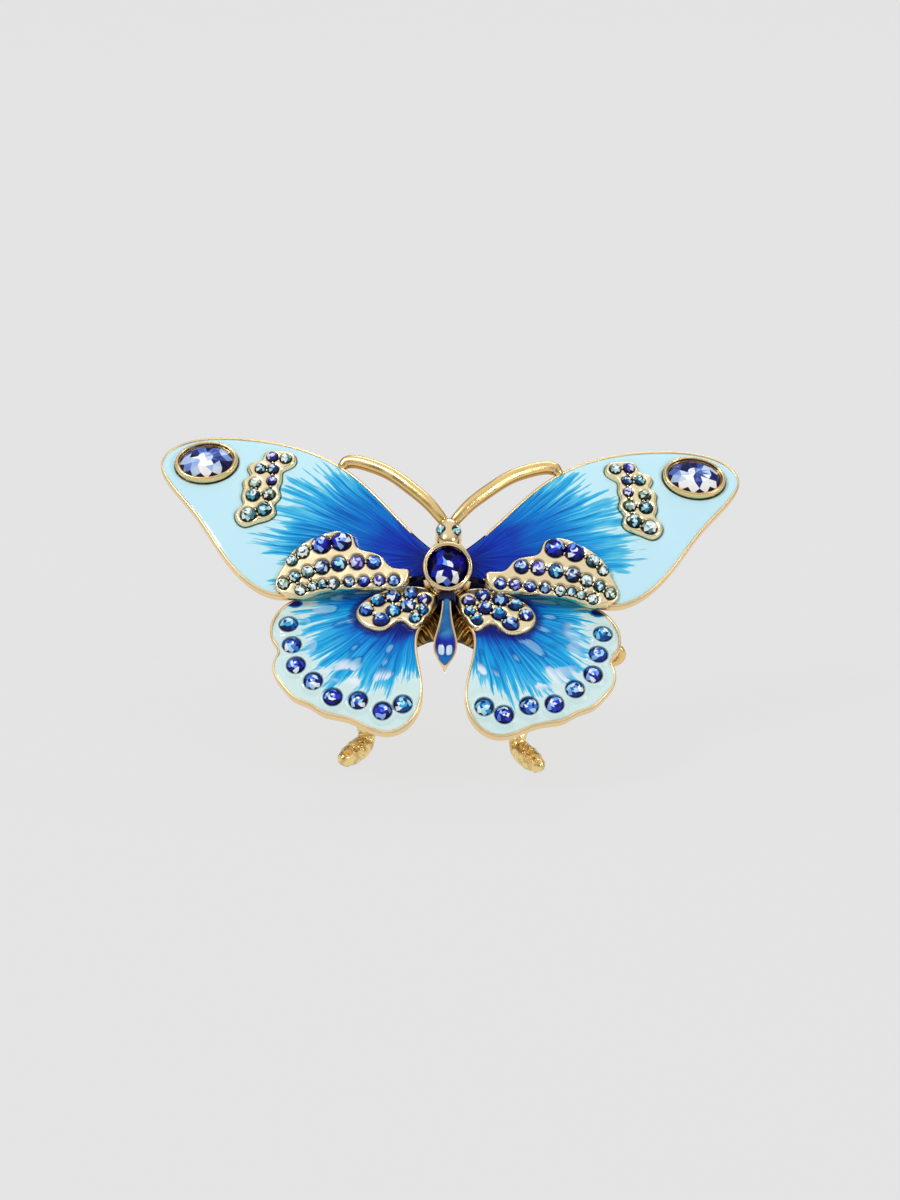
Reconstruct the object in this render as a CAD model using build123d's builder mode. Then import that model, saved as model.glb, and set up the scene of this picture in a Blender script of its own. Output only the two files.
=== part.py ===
from build123d import *
import math
import os

os.makedirs("parts", exist_ok=True)

# Whole ornament: millimetres, X to the right, Y away from the viewer, Z up from the floor.
wing_span = 80.0
wing_chord = 45.0
body_height = 26.2
body_set_back = 2.06
lean_angle = 50.0
droop_angle = 4.0
half_span = wing_span / 2

# Cast wings: each surface is part of a cylinder that lies across the body.
wing_thickness = 1.0
rim_width = 0.32
enamel_depth = 0.4
enamel_rise = 0.15
fore_bow_radius = 70.0
fore_bow_rise = 3.2
fore_crest_share = 0.207
hind_bow_radius = 47.0
hind_bow_rise = 1.2
hind_crest_share = -0.36
prism_reach = 12.0

# Stones: flat backs sunk into drilled seats.
margin_stone_width = 2.5
patch_stone_width = 2.0
band_stone_width = 1.6
root_stone_width = 2.0
eye_width = 1.35
stone_gap = 0.25
seat_clearance = 0.02
seat_depth = 0.35
girdle_height = 0.4
crown_share = 0.3
table_share = 0.52
bed_rise = 0.75

# Oval stones near the wing tips.
oval_length = 7.6
oval_width = 5.6
oval_crown = 1.2
oval_girdle = 0.5
oval_bezel_wall = 0.6
oval_bezel_height = 1.1
oval_place_shares = (0.837, 0.33)
oval_turn = -5.0

# Round centre stone and its cup.
cup_radius = 3.36
cup_wall = 0.62
cup_height = 2.1
cup_floor = 0.5
cup_tilt = 24.0
cup_rise = 4.0
cup_along = -2.3
cup_post_radius = 2.2
cup_post_depth = 3.0
centre_stone_girdle = 0.6
centre_stone_crown = 1.15

# Body: turned shapes about a line down the middle, under the wings.
spine_drop = 1.0
thorax_front = 4.2
thorax_length = 9.0
thorax_radius = 3.4
collar_radius = 1.3
collar_length = 1.2
collar_rise = 0.4
head_radius = 1.8
head_length = 1.6
head_along = 4.6
head_rise = 1.7
eye_splay = 36.0
eye_dip = 28.0
abdomen_length = 11.2
abdomen_radius = 1.6
abdomen_rim = 0.22
abdomen_rise = 1.2
abdomen_lip = 0.1

# Antennae.
antenna_thickness = 1.65
antenna_ball = 1.35

# Bridge plate across the backs of the hind wings.
bridge_thickness = 0.8

# Legs.
hip_spread = 1.5
hip_depth = 2.5
leg_root_radius = 1.0
knee_radius = 1.25
ankle_radius = 1.05
front_hip_along = -2.6
front_knee_spread = 12.2
front_knee_reach = -1.2
front_knee_height = 11.5
front_ankle_spread = 10.4
front_ankle_reach = -4.6
ankle_height = 2.6
foot_length = 5.4
foot_radius = 1.3
front_foot_splay = 47.0
foot_sink = 0.3
middle_hip_along = -0.4
middle_knee_reach = 6.0
curl_reach = 3.2
middle_knee_spread = 12.5
middle_knee_height = 19.0
curl_spread = 21.4
curl_height = 12.6
curl_radius = 1.15
curl_thickness = 0.6
curl_start_angle = 100
curl_end_angle = -160
rear_hip_along = 2.0
rear_knee_spread = 9.0
rear_knee_reach = 8.0
rear_knee_height = 18.0
rear_ankle_spread = 10.5
rear_ankle_reach = 10.6
rear_foot_splay = 140.0

# Outlines in shares of the half span, outwards, and of the chord, up the slope.
fore_edge_shares = [
    (0.03, 0.01), (0.09, 0.055), (0.18, 0.14), (0.27, 0.232), (0.372, 0.315), (0.50, 0.38),
    (0.60, 0.409), (0.69, 0.424), (0.78, 0.431), (0.865, 0.426), (0.93, 0.407), (0.978, 0.372),
    (0.996, 0.33), (0.975, 0.275), (0.925, 0.213), (0.862, 0.14), (0.80, 0.054), (0.725, -0.038),
    (0.664, -0.088), (0.58, -0.122), (0.475, -0.116), (0.375, -0.1), (0.28, -0.086),
    (0.18, -0.075), (0.03, -0.055),
]
hind_top_shares = [
    (0.045, -0.165), (0.045, -0.075), (0.12, -0.064), (0.28, -0.055), (0.43, -0.075), (0.536, -0.127),
]
hind_edge_shares = [
    (0.536, -0.127), (0.575, -0.172), (0.592, -0.226), (0.582, -0.27), (0.562, -0.303),
    (0.572, -0.34), (0.572, -0.382), (0.54, -0.428), (0.497, -0.468), (0.45, -0.487),
    (0.40, -0.515), (0.343, -0.527), (0.283, -0.546), (0.222, -0.571), (0.168, -0.574),
    (0.118, -0.552), (0.084, -0.512), (0.07, -0.46), (0.074, -0.406), (0.087, -0.344),
    (0.094, -0.286), (0.088, -0.236), (0.065, -0.195), (0.045, -0.165),
]
bridge_shares = [(0.0, -0.07), (0.17, -0.07), (0.19, -0.20), (0.125, -0.285), (0.06, -0.255), (0.0, -0.24)]

# Pavé groups: places in shares of one stone pitch from the group's anchor, and sizes in shares.
patch_anchor_shares = (0.375, -0.04)
patch_upper_shares = [(-0.31, 1.73, 1.35), (0.89, 1.53, 1.3), (2.02, 1.04, 0.9), (2.65, 0.49, 0.75)]
patch_middle_shares = [
    (-2.31, 0.37, 0.95), (-1.30, 0.36, 1.0), (-0.20, 0.25, 1.0), (0.81, 0.06, 1.0),
    (1.67, -0.24, 0.85), (2.45, -0.54, 0.75),
]
patch_lower_shares = [
    (-3.55, -0.80, 0.8), (-2.66, -0.80, 0.8), (-1.73, -0.86, 0.75), (-0.84, -0.88, 0.75),
    (0.08, -0.99, 0.75), (0.76, -1.01, 0.65), (1.36, -1.16, 0.65), (2.06, -1.37, 0.75),
    (3.12, -0.97, 0.8),
]
patch_bed_shares = [
    (-4.5, -0.42), (-4.0, -1.27), (-2.66, -1.34), (-0.84, -1.42), (0.76, -1.55), (2.1, -1.92),
    (3.0, -1.75), (3.62, -1.25), (3.6, -0.65), (3.2, 0.15), (2.75, 1.0), (2.05, 1.62),
    (0.95, 2.2), (-0.3, 2.42), (-0.98, 2.1), (-1.3, 1.35), (-2.2, 1.0), (-2.9, 0.6), (-3.5, 0.0),
]
band_anchor_shares = (0.63, 0.25)
band_shares = [
    (-1.46, 2.14, 1.0), (-0.44, 2.33, 1.0), (-0.58, 1.19, 0.95), (0.37, 1.25, 0.95),
    (-0.51, 0.15, 0.85), (0.74, -0.03, 1.0), (-0.38, -1.03, 1.1), (0.82, -1.08, 1.15),
    (-0.07, -2.32, 1.25), (1.08, -2.75, 1.35),
]
band_bed_shares = [
    (-1.75, 2.85), (-0.9, 3.0), (0.05, 2.9), (0.45, 2.1), (1.15, 1.85), (1.35, 1.3),
    (1.15, 0.75), (1.6, 0.35), (1.6, -0.4), (1.7, -1.1), (1.55, -1.75), (2.0, -2.3),
    (2.05, -3.05), (1.4, -3.65), (0.5, -3.4), (-0.5, -3.05), (-0.95, -2.4), (-0.8, -1.85),
    (-1.2, -1.2), (-1.1, -0.4), (-1.25, 0.3), (-1.3, 1.1), (-1.9, 1.5), (-2.25, 2.1),
]
root_anchor_shares = (0.158, -0.158)
root_shares = [
    (1.32, 0.55, 0.95), (0.43, 0.88, 1.05), (-0.64, 1.10, 1.0), (1.97, -0.19, 0.95),
    (0.35, -0.25, 1.0), (-0.52, 0.12, 1.0), (-1.5, 0.62, 0.9), (1.04, -0.92, 1.1),
    (-1.44, -0.20, 0.75), (-1.0, -0.80, 0.8),
]
root_bed_shares = [
    (-2.05, 1.5), (-1.4, 1.75), (-0.55, 1.85), (0.5, 1.62), (1.5, 1.18), (2.3, 0.5),
    (2.62, -0.25), (2.4, -0.95), (1.85, -1.42), (1.1, -1.62), (0.4, -1.28), (-0.12, -0.9),
    (-0.5, -1.2), (-0.9, -1.48), (-1.4, -1.1), (-1.85, -0.4), (-2.1, 0.3),
]
margin_shares = [
    (0.53, -0.213), (0.514, -0.288), (0.496, -0.359), (0.436, -0.412),
    (0.368, -0.464), (0.283, -0.475), (0.201, -0.508), (0.134, -0.487),
]
antenna_shares = [
    (0.012, 0.126, -0.55), (0.03, 0.146, -0.35), (0.07, 0.188, -0.1), (0.132, 0.238, 0.1),
    (0.198, 0.284, 0.15), (0.26, 0.315, 0.1), (0.318, 0.333, 0.0), (0.352, 0.333, -0.1),
    (0.366, 0.324, -0.15),
]
antenna_girth_shares = [0.8, 0.85, 0.9, 1.0, 1.0, 1.0, 0.9, 0.8, 0.7]

# Turned profiles: length from the front end and radius, both in shares.
thorax_profile_shares = [(0.0, 0.35), (0.07, 0.62), (0.27, 0.9), (0.54, 1.0), (0.8, 0.86), (1.0, 0.55)]
abdomen_profile_shares = [
    (0.0, 0.36), (0.15, 0.42), (0.4, 0.72), (0.6, 1.0), (0.7, 0.96), (0.85, 0.5), (1.0, 0.02),
]
drop_profile_shares = [
    (0.0, 0.3), (0.16, 0.38), (0.4, 0.68), (0.6, 1.0), (0.72, 0.93), (0.84, 0.5), (0.91, 0.06),
]
centre_crown_shares = [(0.0, 1.0), (0.55, 0.8), (1.0, 0.5)]
foot_profile_shares = [
    (0.07, 0.72), (0.2, 0.98), (0.29, 0.84), (0.4, 1.0), (0.5, 0.84), (0.62, 0.98), (0.72, 0.8),
    (0.85, 0.78), (0.95, 0.5),
]

# Planes of the body and of the right wings.
lean = math.radians(lean_angle)
wing_base = Plane(
    origin=(0, body_set_back, body_height),
    x_dir=(1, 0, 0),
    z_dir=(0, -math.cos(lean), math.sin(lean)),
)
right_wing = Plane(wing_base.location * Location((0, 0, 0), (0, droop_angle, 0)))
fore_bow = (fore_crest_share * wing_chord, fore_bow_rise, fore_bow_radius)
hind_bow = (hind_crest_share * wing_chord, hind_bow_rise, hind_bow_radius)


def on_wing(bow, across, along, lift=0.0, turn=0.0):
    """A plane on the right wing's bowed surface, at distances outwards and up the slope."""
    crest, rise, radius = bow
    tilt = math.degrees(math.asin((along - crest) / radius))
    hub = Location((across, crest, rise - radius), (-tilt, 0, 0))
    return Plane(right_wing.location * hub * Location((0, 0, radius + lift), (0, 0, turn)))


def bowed_layer(bow, low, high):
    """The layer of a wing's cylinder between two heights above its surface."""
    crest, rise, radius = bow
    axis_plane = Plane(right_wing.location * Location((0, crest, rise - radius), (0, 90, 0)))
    with BuildPart() as layer:
        with BuildSketch(axis_plane):
            Circle(radius + high)
            Circle(radius + low, mode=Mode.SUBTRACT)
        extrude(amount=wing_span, both=True)
    return layer.part


def wing_slab(outline, bow, low, high):
    """What an outline cuts, square to the wing, from a bowed layer."""
    layer = bowed_layer(bow, low, high)
    with BuildPart() as slab:
        with BuildSketch(right_wing):
            add(outline)
        extrude(amount=prism_reach, both=True)
        add(layer, mode=Mode.INTERSECT)
    return slab.part


def wing_places(shares):
    """Points on the wing's plan from shares of the half span and the chord."""
    return [(across * half_span, along * wing_chord) for across, along in shares]


def group_places(anchor, pitch, shares):
    """Plan points of a pavé group from shares of its stone pitch."""
    (start_across, start_along) = wing_places([anchor])[0]
    return [(start_across + x * pitch, start_along + y * pitch) for x, y, *_ in shares]


def leaf(runs, inset=0.0):
    """A face inside smooth runs of points, given clockwise, with its edge moved inwards."""
    loop = [Vector(*point) for run in runs for point in run[:-1]]
    moved = []
    for before, here, after in zip(loop[-1:] + loop[:-1], loop, loop[1:] + loop[:1]):
        heading = (after - before).normalized()
        moved.append(here + Vector(heading.Y, -heading.X) * inset)
    moved.append(moved[0])
    start = 0
    with BuildSketch() as face:
        with BuildLine():
            for run in runs:
                corners = moved[start : start + len(run)]
                if len(corners) == 2:
                    Line(*corners)
                else:
                    Spline(*corners)
                start += len(run) - 1
        make_face()
    return face.sketch


def round_outline(points):
    """A closed smooth outline through the points."""
    with BuildSketch() as outline:
        with BuildLine():
            Spline(*points, periodic=True)
        make_face()
    return outline.sketch


def cut_stone(width):
    """A flat-backed stone with eight crown facets and a table."""
    table_radius = table_share * width / 2
    with BuildPart() as stone:
        with BuildSketch():
            RegularPolygon(width / 2, 8)
        extrude(amount=girdle_height)
        with BuildSketch(Plane.XY.offset(girdle_height)):
            RegularPolygon(width / 2, 8)
        with BuildSketch(Plane.XY.offset(girdle_height + crown_share * width)):
            RegularPolygon(table_radius, 8)
        loft(ruled=True)
    return stone.part


def stones_at(planes, widths):
    """One stone on each plane, its back on the plane."""
    with BuildPart() as stones:
        for plane, width in zip(planes, widths):
            add(cut_stone(width).moved(plane.location))
    return stones.part


def seats_at(planes, widths):
    """The drilled seats for the same stones, open upwards."""
    with BuildPart() as seats:
        for plane, width in zip(planes, widths):
            with BuildSketch(plane):
                Circle(width / 2 + seat_clearance)
            extrude(amount=girdle_height + bed_rise)
    return seats.part


def pave(bow, anchor, stone_width, shares):
    """Planes and widths of the stones of a pavé group."""
    places = group_places(anchor, stone_width + stone_gap, shares)
    planes = [on_wing(bow, x, y, bed_rise - seat_depth) for x, y in places]
    widths = [size * stone_width for _, _, size in shares]
    return planes, widths


def oval_points(share):
    """The corners of the oval stone at a share of its size."""
    turns = [math.tau * step / 16 for step in range(16)]
    long_radius = share * (oval_length / 2 - seat_clearance)
    short_radius = share * (oval_width / 2 - seat_clearance)
    return [(long_radius * math.cos(turn), short_radius * math.sin(turn)) for turn in turns]


def limb(points, radii):
    """A chain of tapered pieces with a round joint at each point."""
    with BuildPart() as chain:
        for start, end, thick, thin in zip(points, points[1:], radii, radii[1:]):
            run = Vector(*end) - Vector(*start)
            with BuildSketch(Plane(origin=start, z_dir=run)):
                Circle(thick)
            with BuildSketch(Plane(origin=end, z_dir=run)):
                Circle(thin)
            loft()
        for point, radius in zip(points, radii):
            with Locations(point):
                Sphere(radius)
    return chain.part


def turned(plane, length, radius, shares):
    """A shape turned about the plane's Y axis, running towards its -Y."""
    with BuildPart() as shape:
        with BuildSketch(plane):
            with BuildLine():
                start = (0, -shares[0][0] * length)
                rim = [(r * radius, -t * length) for t, r in shares]
                first = Line(start, rim[0])
                side = Spline(*rim)
                nose = Line(rim[-1], (0, rim[-1][1]))
                Line(nose @ 1, first @ 0)
            make_face()
        revolve(axis=Axis(plane.origin, plane.y_dir))
    return shape.part


def write_piece(part, name):
    """Labels a finished piece and writes its file."""
    part.label = name
    export_step(part, "parts/" + name + ".step")


def write_pair(part, name):
    """Writes a right-hand piece and its mirror image."""
    with BuildPart() as left:
        mirror(part, about=Plane.YZ)
    write_piece(part, name + "_right")
    write_piece(left.part, name + "_left")


# Thorax, with the post that carries the cup
spine_plane = Plane(wing_base.location * Location((0, thorax_front, -spine_drop)))
cup_plane = Plane(wing_base.location * Location((0, cup_along, cup_rise), (cup_tilt, 0, 0)))
cup_foot = cup_plane.offset(-cup_height)
with BuildPart() as cup_block:
    with BuildSketch(cup_foot):
        Circle(cup_radius)
    extrude(amount=cup_height)
with BuildPart() as thorax_core:
    add(turned(spine_plane, thorax_length, thorax_radius, thorax_profile_shares))
    with BuildSketch(cup_foot):
        Circle(cup_post_radius)
    extrude(amount=-cup_post_depth)
with BuildPart() as thorax:
    add(thorax_core.part)
    add(cup_block.part, mode=Mode.SUBTRACT)
write_piece(thorax.part, "thorax")

# Collar between the thorax and the abdomen, and all that the wings are let into
thorax_back = thorax_front - thorax_length
collar_plane = Plane(wing_base.location * Location((0, thorax_back, collar_rise), (90, 0, 0)))
with BuildPart() as collar:
    with BuildSketch(collar_plane):
        Circle(collar_radius)
    extrude(amount=collar_length)
    add(cup_block.part, mode=Mode.SUBTRACT)
write_piece(collar.part, "collar")
with BuildPart() as trunk:
    add(thorax_core.part)
    add(cup_block.part)
    add(collar.part)

# Cup and centre stone: twelve sides, two crown steps and a table
with BuildPart() as centre_cup:
    add(cup_block.part)
    with BuildSketch(cup_foot.offset(cup_floor)):
        Circle(cup_radius - cup_wall)
    extrude(amount=cup_height, mode=Mode.SUBTRACT)
    cup_rings = centre_cup.edges().filter_by(GeomType.CIRCLE).sort_by(Axis(cup_foot.origin, cup_foot.z_dir))
    fillet(cup_rings[-2:], radius=cup_wall / 3)
write_piece(centre_cup.part, "centre_cup")

stone_foot = cup_foot.offset(cup_floor)
stone_radius = cup_radius - cup_wall - seat_clearance
with BuildPart() as centre_stone:
    with BuildSketch(stone_foot):
        RegularPolygon(stone_radius, 12)
    extrude(amount=centre_stone_girdle)
    for lower, upper in zip(centre_crown_shares, centre_crown_shares[1:]):
        for level, width in (lower, upper):
            with BuildSketch(stone_foot.offset(centre_stone_girdle + level * centre_stone_crown)):
                RegularPolygon(width * stone_radius, 12)
        loft(ruled=True)
write_piece(centre_stone.part, "centre_stone")

# Head and its two eyes
head_plane = Plane(wing_base.location * Location((0, head_along, head_rise)))
eye_planes = []
for side in (-1, 1):
    gaze = Location((0, 0, 0), (eye_dip, side * eye_splay, 0))
    eye_planes.append(Plane(head_plane.location * gaze * Location((0, 0, head_radius - seat_depth))))
nape = (head_plane.location * Location((0, -head_length, 0))).position
head_block = limb([head_plane.origin, nape], [head_radius, head_radius])
with BuildPart() as head:
    add(head_block)
    add(trunk.part, mode=Mode.SUBTRACT)
    add(seats_at(eye_planes, [eye_width] * 2), mode=Mode.SUBTRACT)
write_piece(head.part, "head")
write_piece(stones_at(eye_planes, [eye_width] * 2), "eye_stones")

# Abdomen and its enamel drop
abdomen_plane = Plane(wing_base.location * Location((0, thorax_back - collar_length, abdomen_rise)))
abdomen_core = turned(abdomen_plane, abdomen_length, abdomen_radius, abdomen_profile_shares)
with BuildPart() as abdomen_enamel:
    add(turned(abdomen_plane, abdomen_length, abdomen_radius - abdomen_rim, drop_profile_shares))
    split(bisect_by=abdomen_plane)
write_piece(abdomen_enamel.part, "abdomen_enamel")
with BuildPart() as abdomen:
    add(abdomen_core)
    split(bisect_by=abdomen_plane.offset(abdomen_lip), keep=Keep.BOTTOM)
    add(abdomen_enamel.part, mode=Mode.SUBTRACT)
write_piece(abdomen.part, "abdomen")

# Fore wing outline, blank and recess
fore_edge = wing_places(fore_edge_shares)
fore_runs = [fore_edge, [fore_edge[-1], fore_edge[0]]]
fore_outline = leaf(fore_runs)
fore_field = leaf(fore_runs, rim_width)
with BuildPart() as forewing:
    add(wing_slab(fore_outline, fore_bow, -wing_thickness, 0))
    add(wing_slab(fore_field, fore_bow, -enamel_depth, bed_rise), mode=Mode.SUBTRACT)
    add(trunk.part, mode=Mode.SUBTRACT)
write_pair(forewing.part, "forewing")

# Tip bezel and its oval stone
oval_across, oval_along = wing_places([oval_place_shares])[0]
oval_foot = on_wing(fore_bow, oval_across, oval_along, -enamel_depth, oval_turn)
with BuildPart() as oval_block:
    with BuildSketch(oval_foot):
        Ellipse(oval_length / 2 + oval_bezel_wall, oval_width / 2 + oval_bezel_wall)
    extrude(amount=enamel_depth + oval_bezel_height)
with BuildPart() as tip_bezel:
    add(oval_block.part)
    with BuildSketch(oval_foot.offset(enamel_depth)):
        Ellipse(oval_length / 2, oval_width / 2)
    extrude(amount=oval_bezel_height, mode=Mode.SUBTRACT)
write_pair(tip_bezel.part, "tip_bezel")
with BuildPart() as tip_stone:
    oval_back = oval_foot.offset(enamel_depth)
    with BuildSketch(oval_back):
        Polygon(*oval_points(1), align=None)
    extrude(amount=oval_girdle)
    with BuildSketch(oval_back.offset(oval_girdle)):
        Polygon(*oval_points(1), align=None)
    with BuildSketch(oval_back.offset(oval_girdle + oval_crown)):
        Polygon(*oval_points(table_share), align=None)
    loft(ruled=True)
write_pair(tip_stone.part, "tip_stone")

# Band of paired stones across the fore wing
band_planes, band_widths = pave(fore_bow, band_anchor_shares, band_stone_width, band_shares)
band_outline = round_outline(group_places(band_anchor_shares, band_stone_width + stone_gap, band_bed_shares))
with BuildPart() as band_bed:
    add(wing_slab(band_outline, fore_bow, -enamel_depth, bed_rise))
    add(seats_at(band_planes, band_widths), mode=Mode.SUBTRACT)
write_pair(band_bed.part, "band_bed")
write_pair(stones_at(band_planes, band_widths), "band_stones")

# Three rows of stones at the fore wing's root
patch_rows = {"upper": patch_upper_shares, "middle": patch_middle_shares, "lower": patch_lower_shares}
patch_outline = round_outline(
    group_places(patch_anchor_shares, patch_stone_width + stone_gap, patch_bed_shares)
)
with BuildSketch() as patch_root:
    add(patch_outline)
    add(fore_field, mode=Mode.INTERSECT)
with BuildPart() as patch_bed:
    add(wing_slab(patch_outline, fore_bow, 0, bed_rise))
    add(wing_slab(patch_root.sketch, fore_bow, -enamel_depth, bed_rise))
    for shares in patch_rows.values():
        row_planes, row_widths = pave(fore_bow, patch_anchor_shares, patch_stone_width, shares)
        add(seats_at(row_planes, row_widths), mode=Mode.SUBTRACT)
write_pair(patch_bed.part, "patch_bed")
for row, shares in patch_rows.items():
    row_planes, row_widths = pave(fore_bow, patch_anchor_shares, patch_stone_width, shares)
    write_pair(stones_at(row_planes, row_widths), "patch_stones_" + row)

# Fore wing enamel fills what the beds and the bezel leave
with BuildSketch() as fore_enamel_field:
    add(fore_field)
    add(band_outline, mode=Mode.SUBTRACT)
    add(patch_outline, mode=Mode.SUBTRACT)
with BuildPart() as forewing_enamel:
    add(wing_slab(fore_enamel_field.sketch, fore_bow, -enamel_depth, enamel_rise))
    add(trunk.part, mode=Mode.SUBTRACT)
    add(oval_block.part, mode=Mode.SUBTRACT)
write_pair(forewing_enamel.part, "forewing_enamel")

# Hind wing outline and plate
hind_runs = [wing_places(hind_top_shares), wing_places(hind_edge_shares)]
hind_outline = leaf(hind_runs)
hind_field = leaf(hind_runs, rim_width)
with BuildPart() as hindwing:
    add(wing_slab(hind_outline, hind_bow, -wing_thickness, 0))
    add(wing_slab(hind_field, hind_bow, -enamel_depth, bed_rise), mode=Mode.SUBTRACT)
    add(trunk.part, mode=Mode.SUBTRACT)
write_pair(hindwing.part, "hindwing")

# Two-lobed group of stones at the hind wing's root
root_planes, root_widths = pave(hind_bow, root_anchor_shares, root_stone_width, root_shares)
root_outline = round_outline(group_places(root_anchor_shares, root_stone_width + stone_gap, root_bed_shares))
with BuildSketch() as root_base:
    add(root_outline)
    add(hind_field, mode=Mode.INTERSECT)
with BuildPart() as root_bed:
    add(wing_slab(root_outline, hind_bow, 0, bed_rise))
    add(wing_slab(root_base.sketch, hind_bow, -enamel_depth, bed_rise))
    add(trunk.part, mode=Mode.SUBTRACT)
    add(seats_at(root_planes, root_widths), mode=Mode.SUBTRACT)
write_pair(root_bed.part, "root_bed")
write_pair(stones_at(root_planes, root_widths), "root_stones")

# Margin stones, sunk through the enamel onto the plate
margin_planes = [on_wing(hind_bow, x, y, -enamel_depth) for x, y in wing_places(margin_shares)]
margin_widths = [margin_stone_width] * len(margin_planes)
write_pair(stones_at(margin_planes, margin_widths), "margin_stones")
with BuildSketch() as hind_enamel_field:
    add(hind_field)
    add(root_outline, mode=Mode.SUBTRACT)
with BuildPart() as hindwing_enamel:
    add(wing_slab(hind_enamel_field.sketch, hind_bow, -enamel_depth, enamel_rise))
    add(trunk.part, mode=Mode.SUBTRACT)
    add(seats_at(margin_planes, margin_widths), mode=Mode.SUBTRACT)
write_pair(hindwing_enamel.part, "hindwing_enamel")

# Bridge plate across the backs of the hind wings
with BuildSketch() as bridge_outline:
    with BuildLine():
        Polyline(*wing_places(bridge_shares), close=True)
    make_face()
with BuildPart() as bridge_plate:
    add(wing_slab(bridge_outline.sketch, hind_bow, -wing_thickness - bridge_thickness, -wing_thickness))
    mirror(about=Plane.YZ)
    add(trunk.part, mode=Mode.SUBTRACT)
    add(abdomen_core, mode=Mode.SUBTRACT)
write_piece(bridge_plate.part, "bridge_plate")

# Antennae: from the head to a ball on the fore wing's front edge
antenna_places = wing_places([(across, along) for across, along, _ in antenna_shares])
antenna_points = [
    on_wing(fore_bow, x, y, lift * antenna_thickness).origin
    for (x, y), (_, _, lift) in zip(antenna_places, antenna_shares)
]
with BuildPart() as antenna:
    with BuildLine():
        antenna_path = Spline(*antenna_points)
    for point, girth in zip(antenna_points, antenna_girth_shares):
        heading = antenna_path % antenna_path.param_at_point(point)
        with BuildSketch(Plane(origin=point, x_dir=right_wing.z_dir, z_dir=heading)):
            Circle(girth * antenna_thickness / 2)
    loft()
    with Locations(antenna_points[-1]):
        Sphere(antenna_ball / 2)
    add(head_block, mode=Mode.SUBTRACT)
    add(wing_slab(fore_outline, fore_bow, -wing_thickness, 0), mode=Mode.SUBTRACT)
write_pair(antenna.part, "antenna")


def hip_point(along):
    """Where a leg starts inside the thorax."""
    return (wing_base.location * Location((hip_spread, along, -spine_drop - hip_depth))).position


def standing_leg(hip_along, knee, ankle_spread, ankle_reach, splay):
    """A leg from the thorax to a ribbed foot with a flat sole on the floor."""
    sole_axis = foot_radius - foot_sink
    ankle_y = body_set_back + ankle_reach
    ankle = (ankle_spread, ankle_y, ankle_height)
    heel = Plane(Location((ankle_spread, ankle_y, sole_axis), (0, 0, splay)))
    with BuildPart() as leg:
        add(limb([hip_point(hip_along), knee, ankle], [leg_root_radius, knee_radius, ankle_radius]))
        add(turned(heel, foot_length, foot_radius, foot_profile_shares))
        with Locations(heel.origin):
            Sphere(foot_radius)
        with BuildSketch():
            Circle(wing_span)
        extrude(amount=-ankle_height, mode=Mode.SUBTRACT)
        add(trunk.part, mode=Mode.SUBTRACT)
    return leg.part


# Front legs, seen below the hind wings
front_knee = (front_knee_spread, body_set_back + front_knee_reach, front_knee_height)
write_pair(
    standing_leg(front_hip_along, front_knee, front_ankle_spread, front_ankle_reach, front_foot_splay),
    "front_leg",
)

# Rear legs, hidden behind the wings
rear_knee = (rear_knee_spread, body_set_back + rear_knee_reach, rear_knee_height)
write_pair(
    standing_leg(rear_hip_along, rear_knee, rear_ankle_spread, rear_ankle_reach, rear_foot_splay),
    "rear_leg",
)

# Middle legs, raised, with curled tips that show past the hind wings
curl_centre = Vector(curl_spread, body_set_back + curl_reach, curl_height)
curl_points = [
    curl_centre + Vector(curl_radius, 0, 0).rotate(Axis.Y, turn)
    for turn in range(curl_start_angle, curl_end_angle, -30)
]
middle_points = [
    hip_point(middle_hip_along),
    Vector(middle_knee_spread, body_set_back + middle_knee_reach, middle_knee_height),
    *curl_points,
]
middle_radii = [leg_root_radius, curl_thickness, *([curl_thickness] * len(curl_points))]
with BuildPart() as middle_leg:
    add(limb(middle_points, middle_radii))
    add(trunk.part, mode=Mode.SUBTRACT)
write_pair(middle_leg.part, "middle_leg")
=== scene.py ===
import math
import random

import bmesh
import bpy
from mathutils import Color, Matrix, Vector, noise
from mathutils.geometry import delaunay_2d_cdt
from mathutils.kdtree import KDTree


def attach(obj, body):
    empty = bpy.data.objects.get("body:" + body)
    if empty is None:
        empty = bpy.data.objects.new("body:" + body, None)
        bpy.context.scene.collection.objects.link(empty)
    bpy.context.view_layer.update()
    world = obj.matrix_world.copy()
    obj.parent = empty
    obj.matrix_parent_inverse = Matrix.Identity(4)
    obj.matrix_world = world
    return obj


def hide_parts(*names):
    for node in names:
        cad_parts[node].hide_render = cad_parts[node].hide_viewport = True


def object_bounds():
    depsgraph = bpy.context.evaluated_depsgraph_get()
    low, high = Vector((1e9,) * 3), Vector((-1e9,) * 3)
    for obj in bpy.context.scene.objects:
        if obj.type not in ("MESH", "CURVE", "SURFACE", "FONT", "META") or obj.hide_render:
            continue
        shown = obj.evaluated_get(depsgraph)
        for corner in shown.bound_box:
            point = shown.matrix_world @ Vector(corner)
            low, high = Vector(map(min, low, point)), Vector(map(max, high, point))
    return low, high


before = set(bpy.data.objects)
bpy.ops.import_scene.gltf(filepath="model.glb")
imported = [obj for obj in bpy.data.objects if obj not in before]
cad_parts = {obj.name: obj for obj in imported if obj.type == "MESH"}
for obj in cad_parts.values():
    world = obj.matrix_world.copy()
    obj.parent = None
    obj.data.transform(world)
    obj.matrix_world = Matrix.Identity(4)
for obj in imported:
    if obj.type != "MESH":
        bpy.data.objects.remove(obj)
cad_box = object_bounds()

bl_info = {
    "name": "Butterfly ornament",
    "version": (1, 0, 0),
    "blender": (4, 5, 0),
    "location": "3D View > Sidebar > Butterfly",
    "description": "Enamel, stones and castings of a standing butterfly ornament",
    "category": "Object",
}

MM = 0.001
BODY = "root"
SIDES = ("right", "left")

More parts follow.
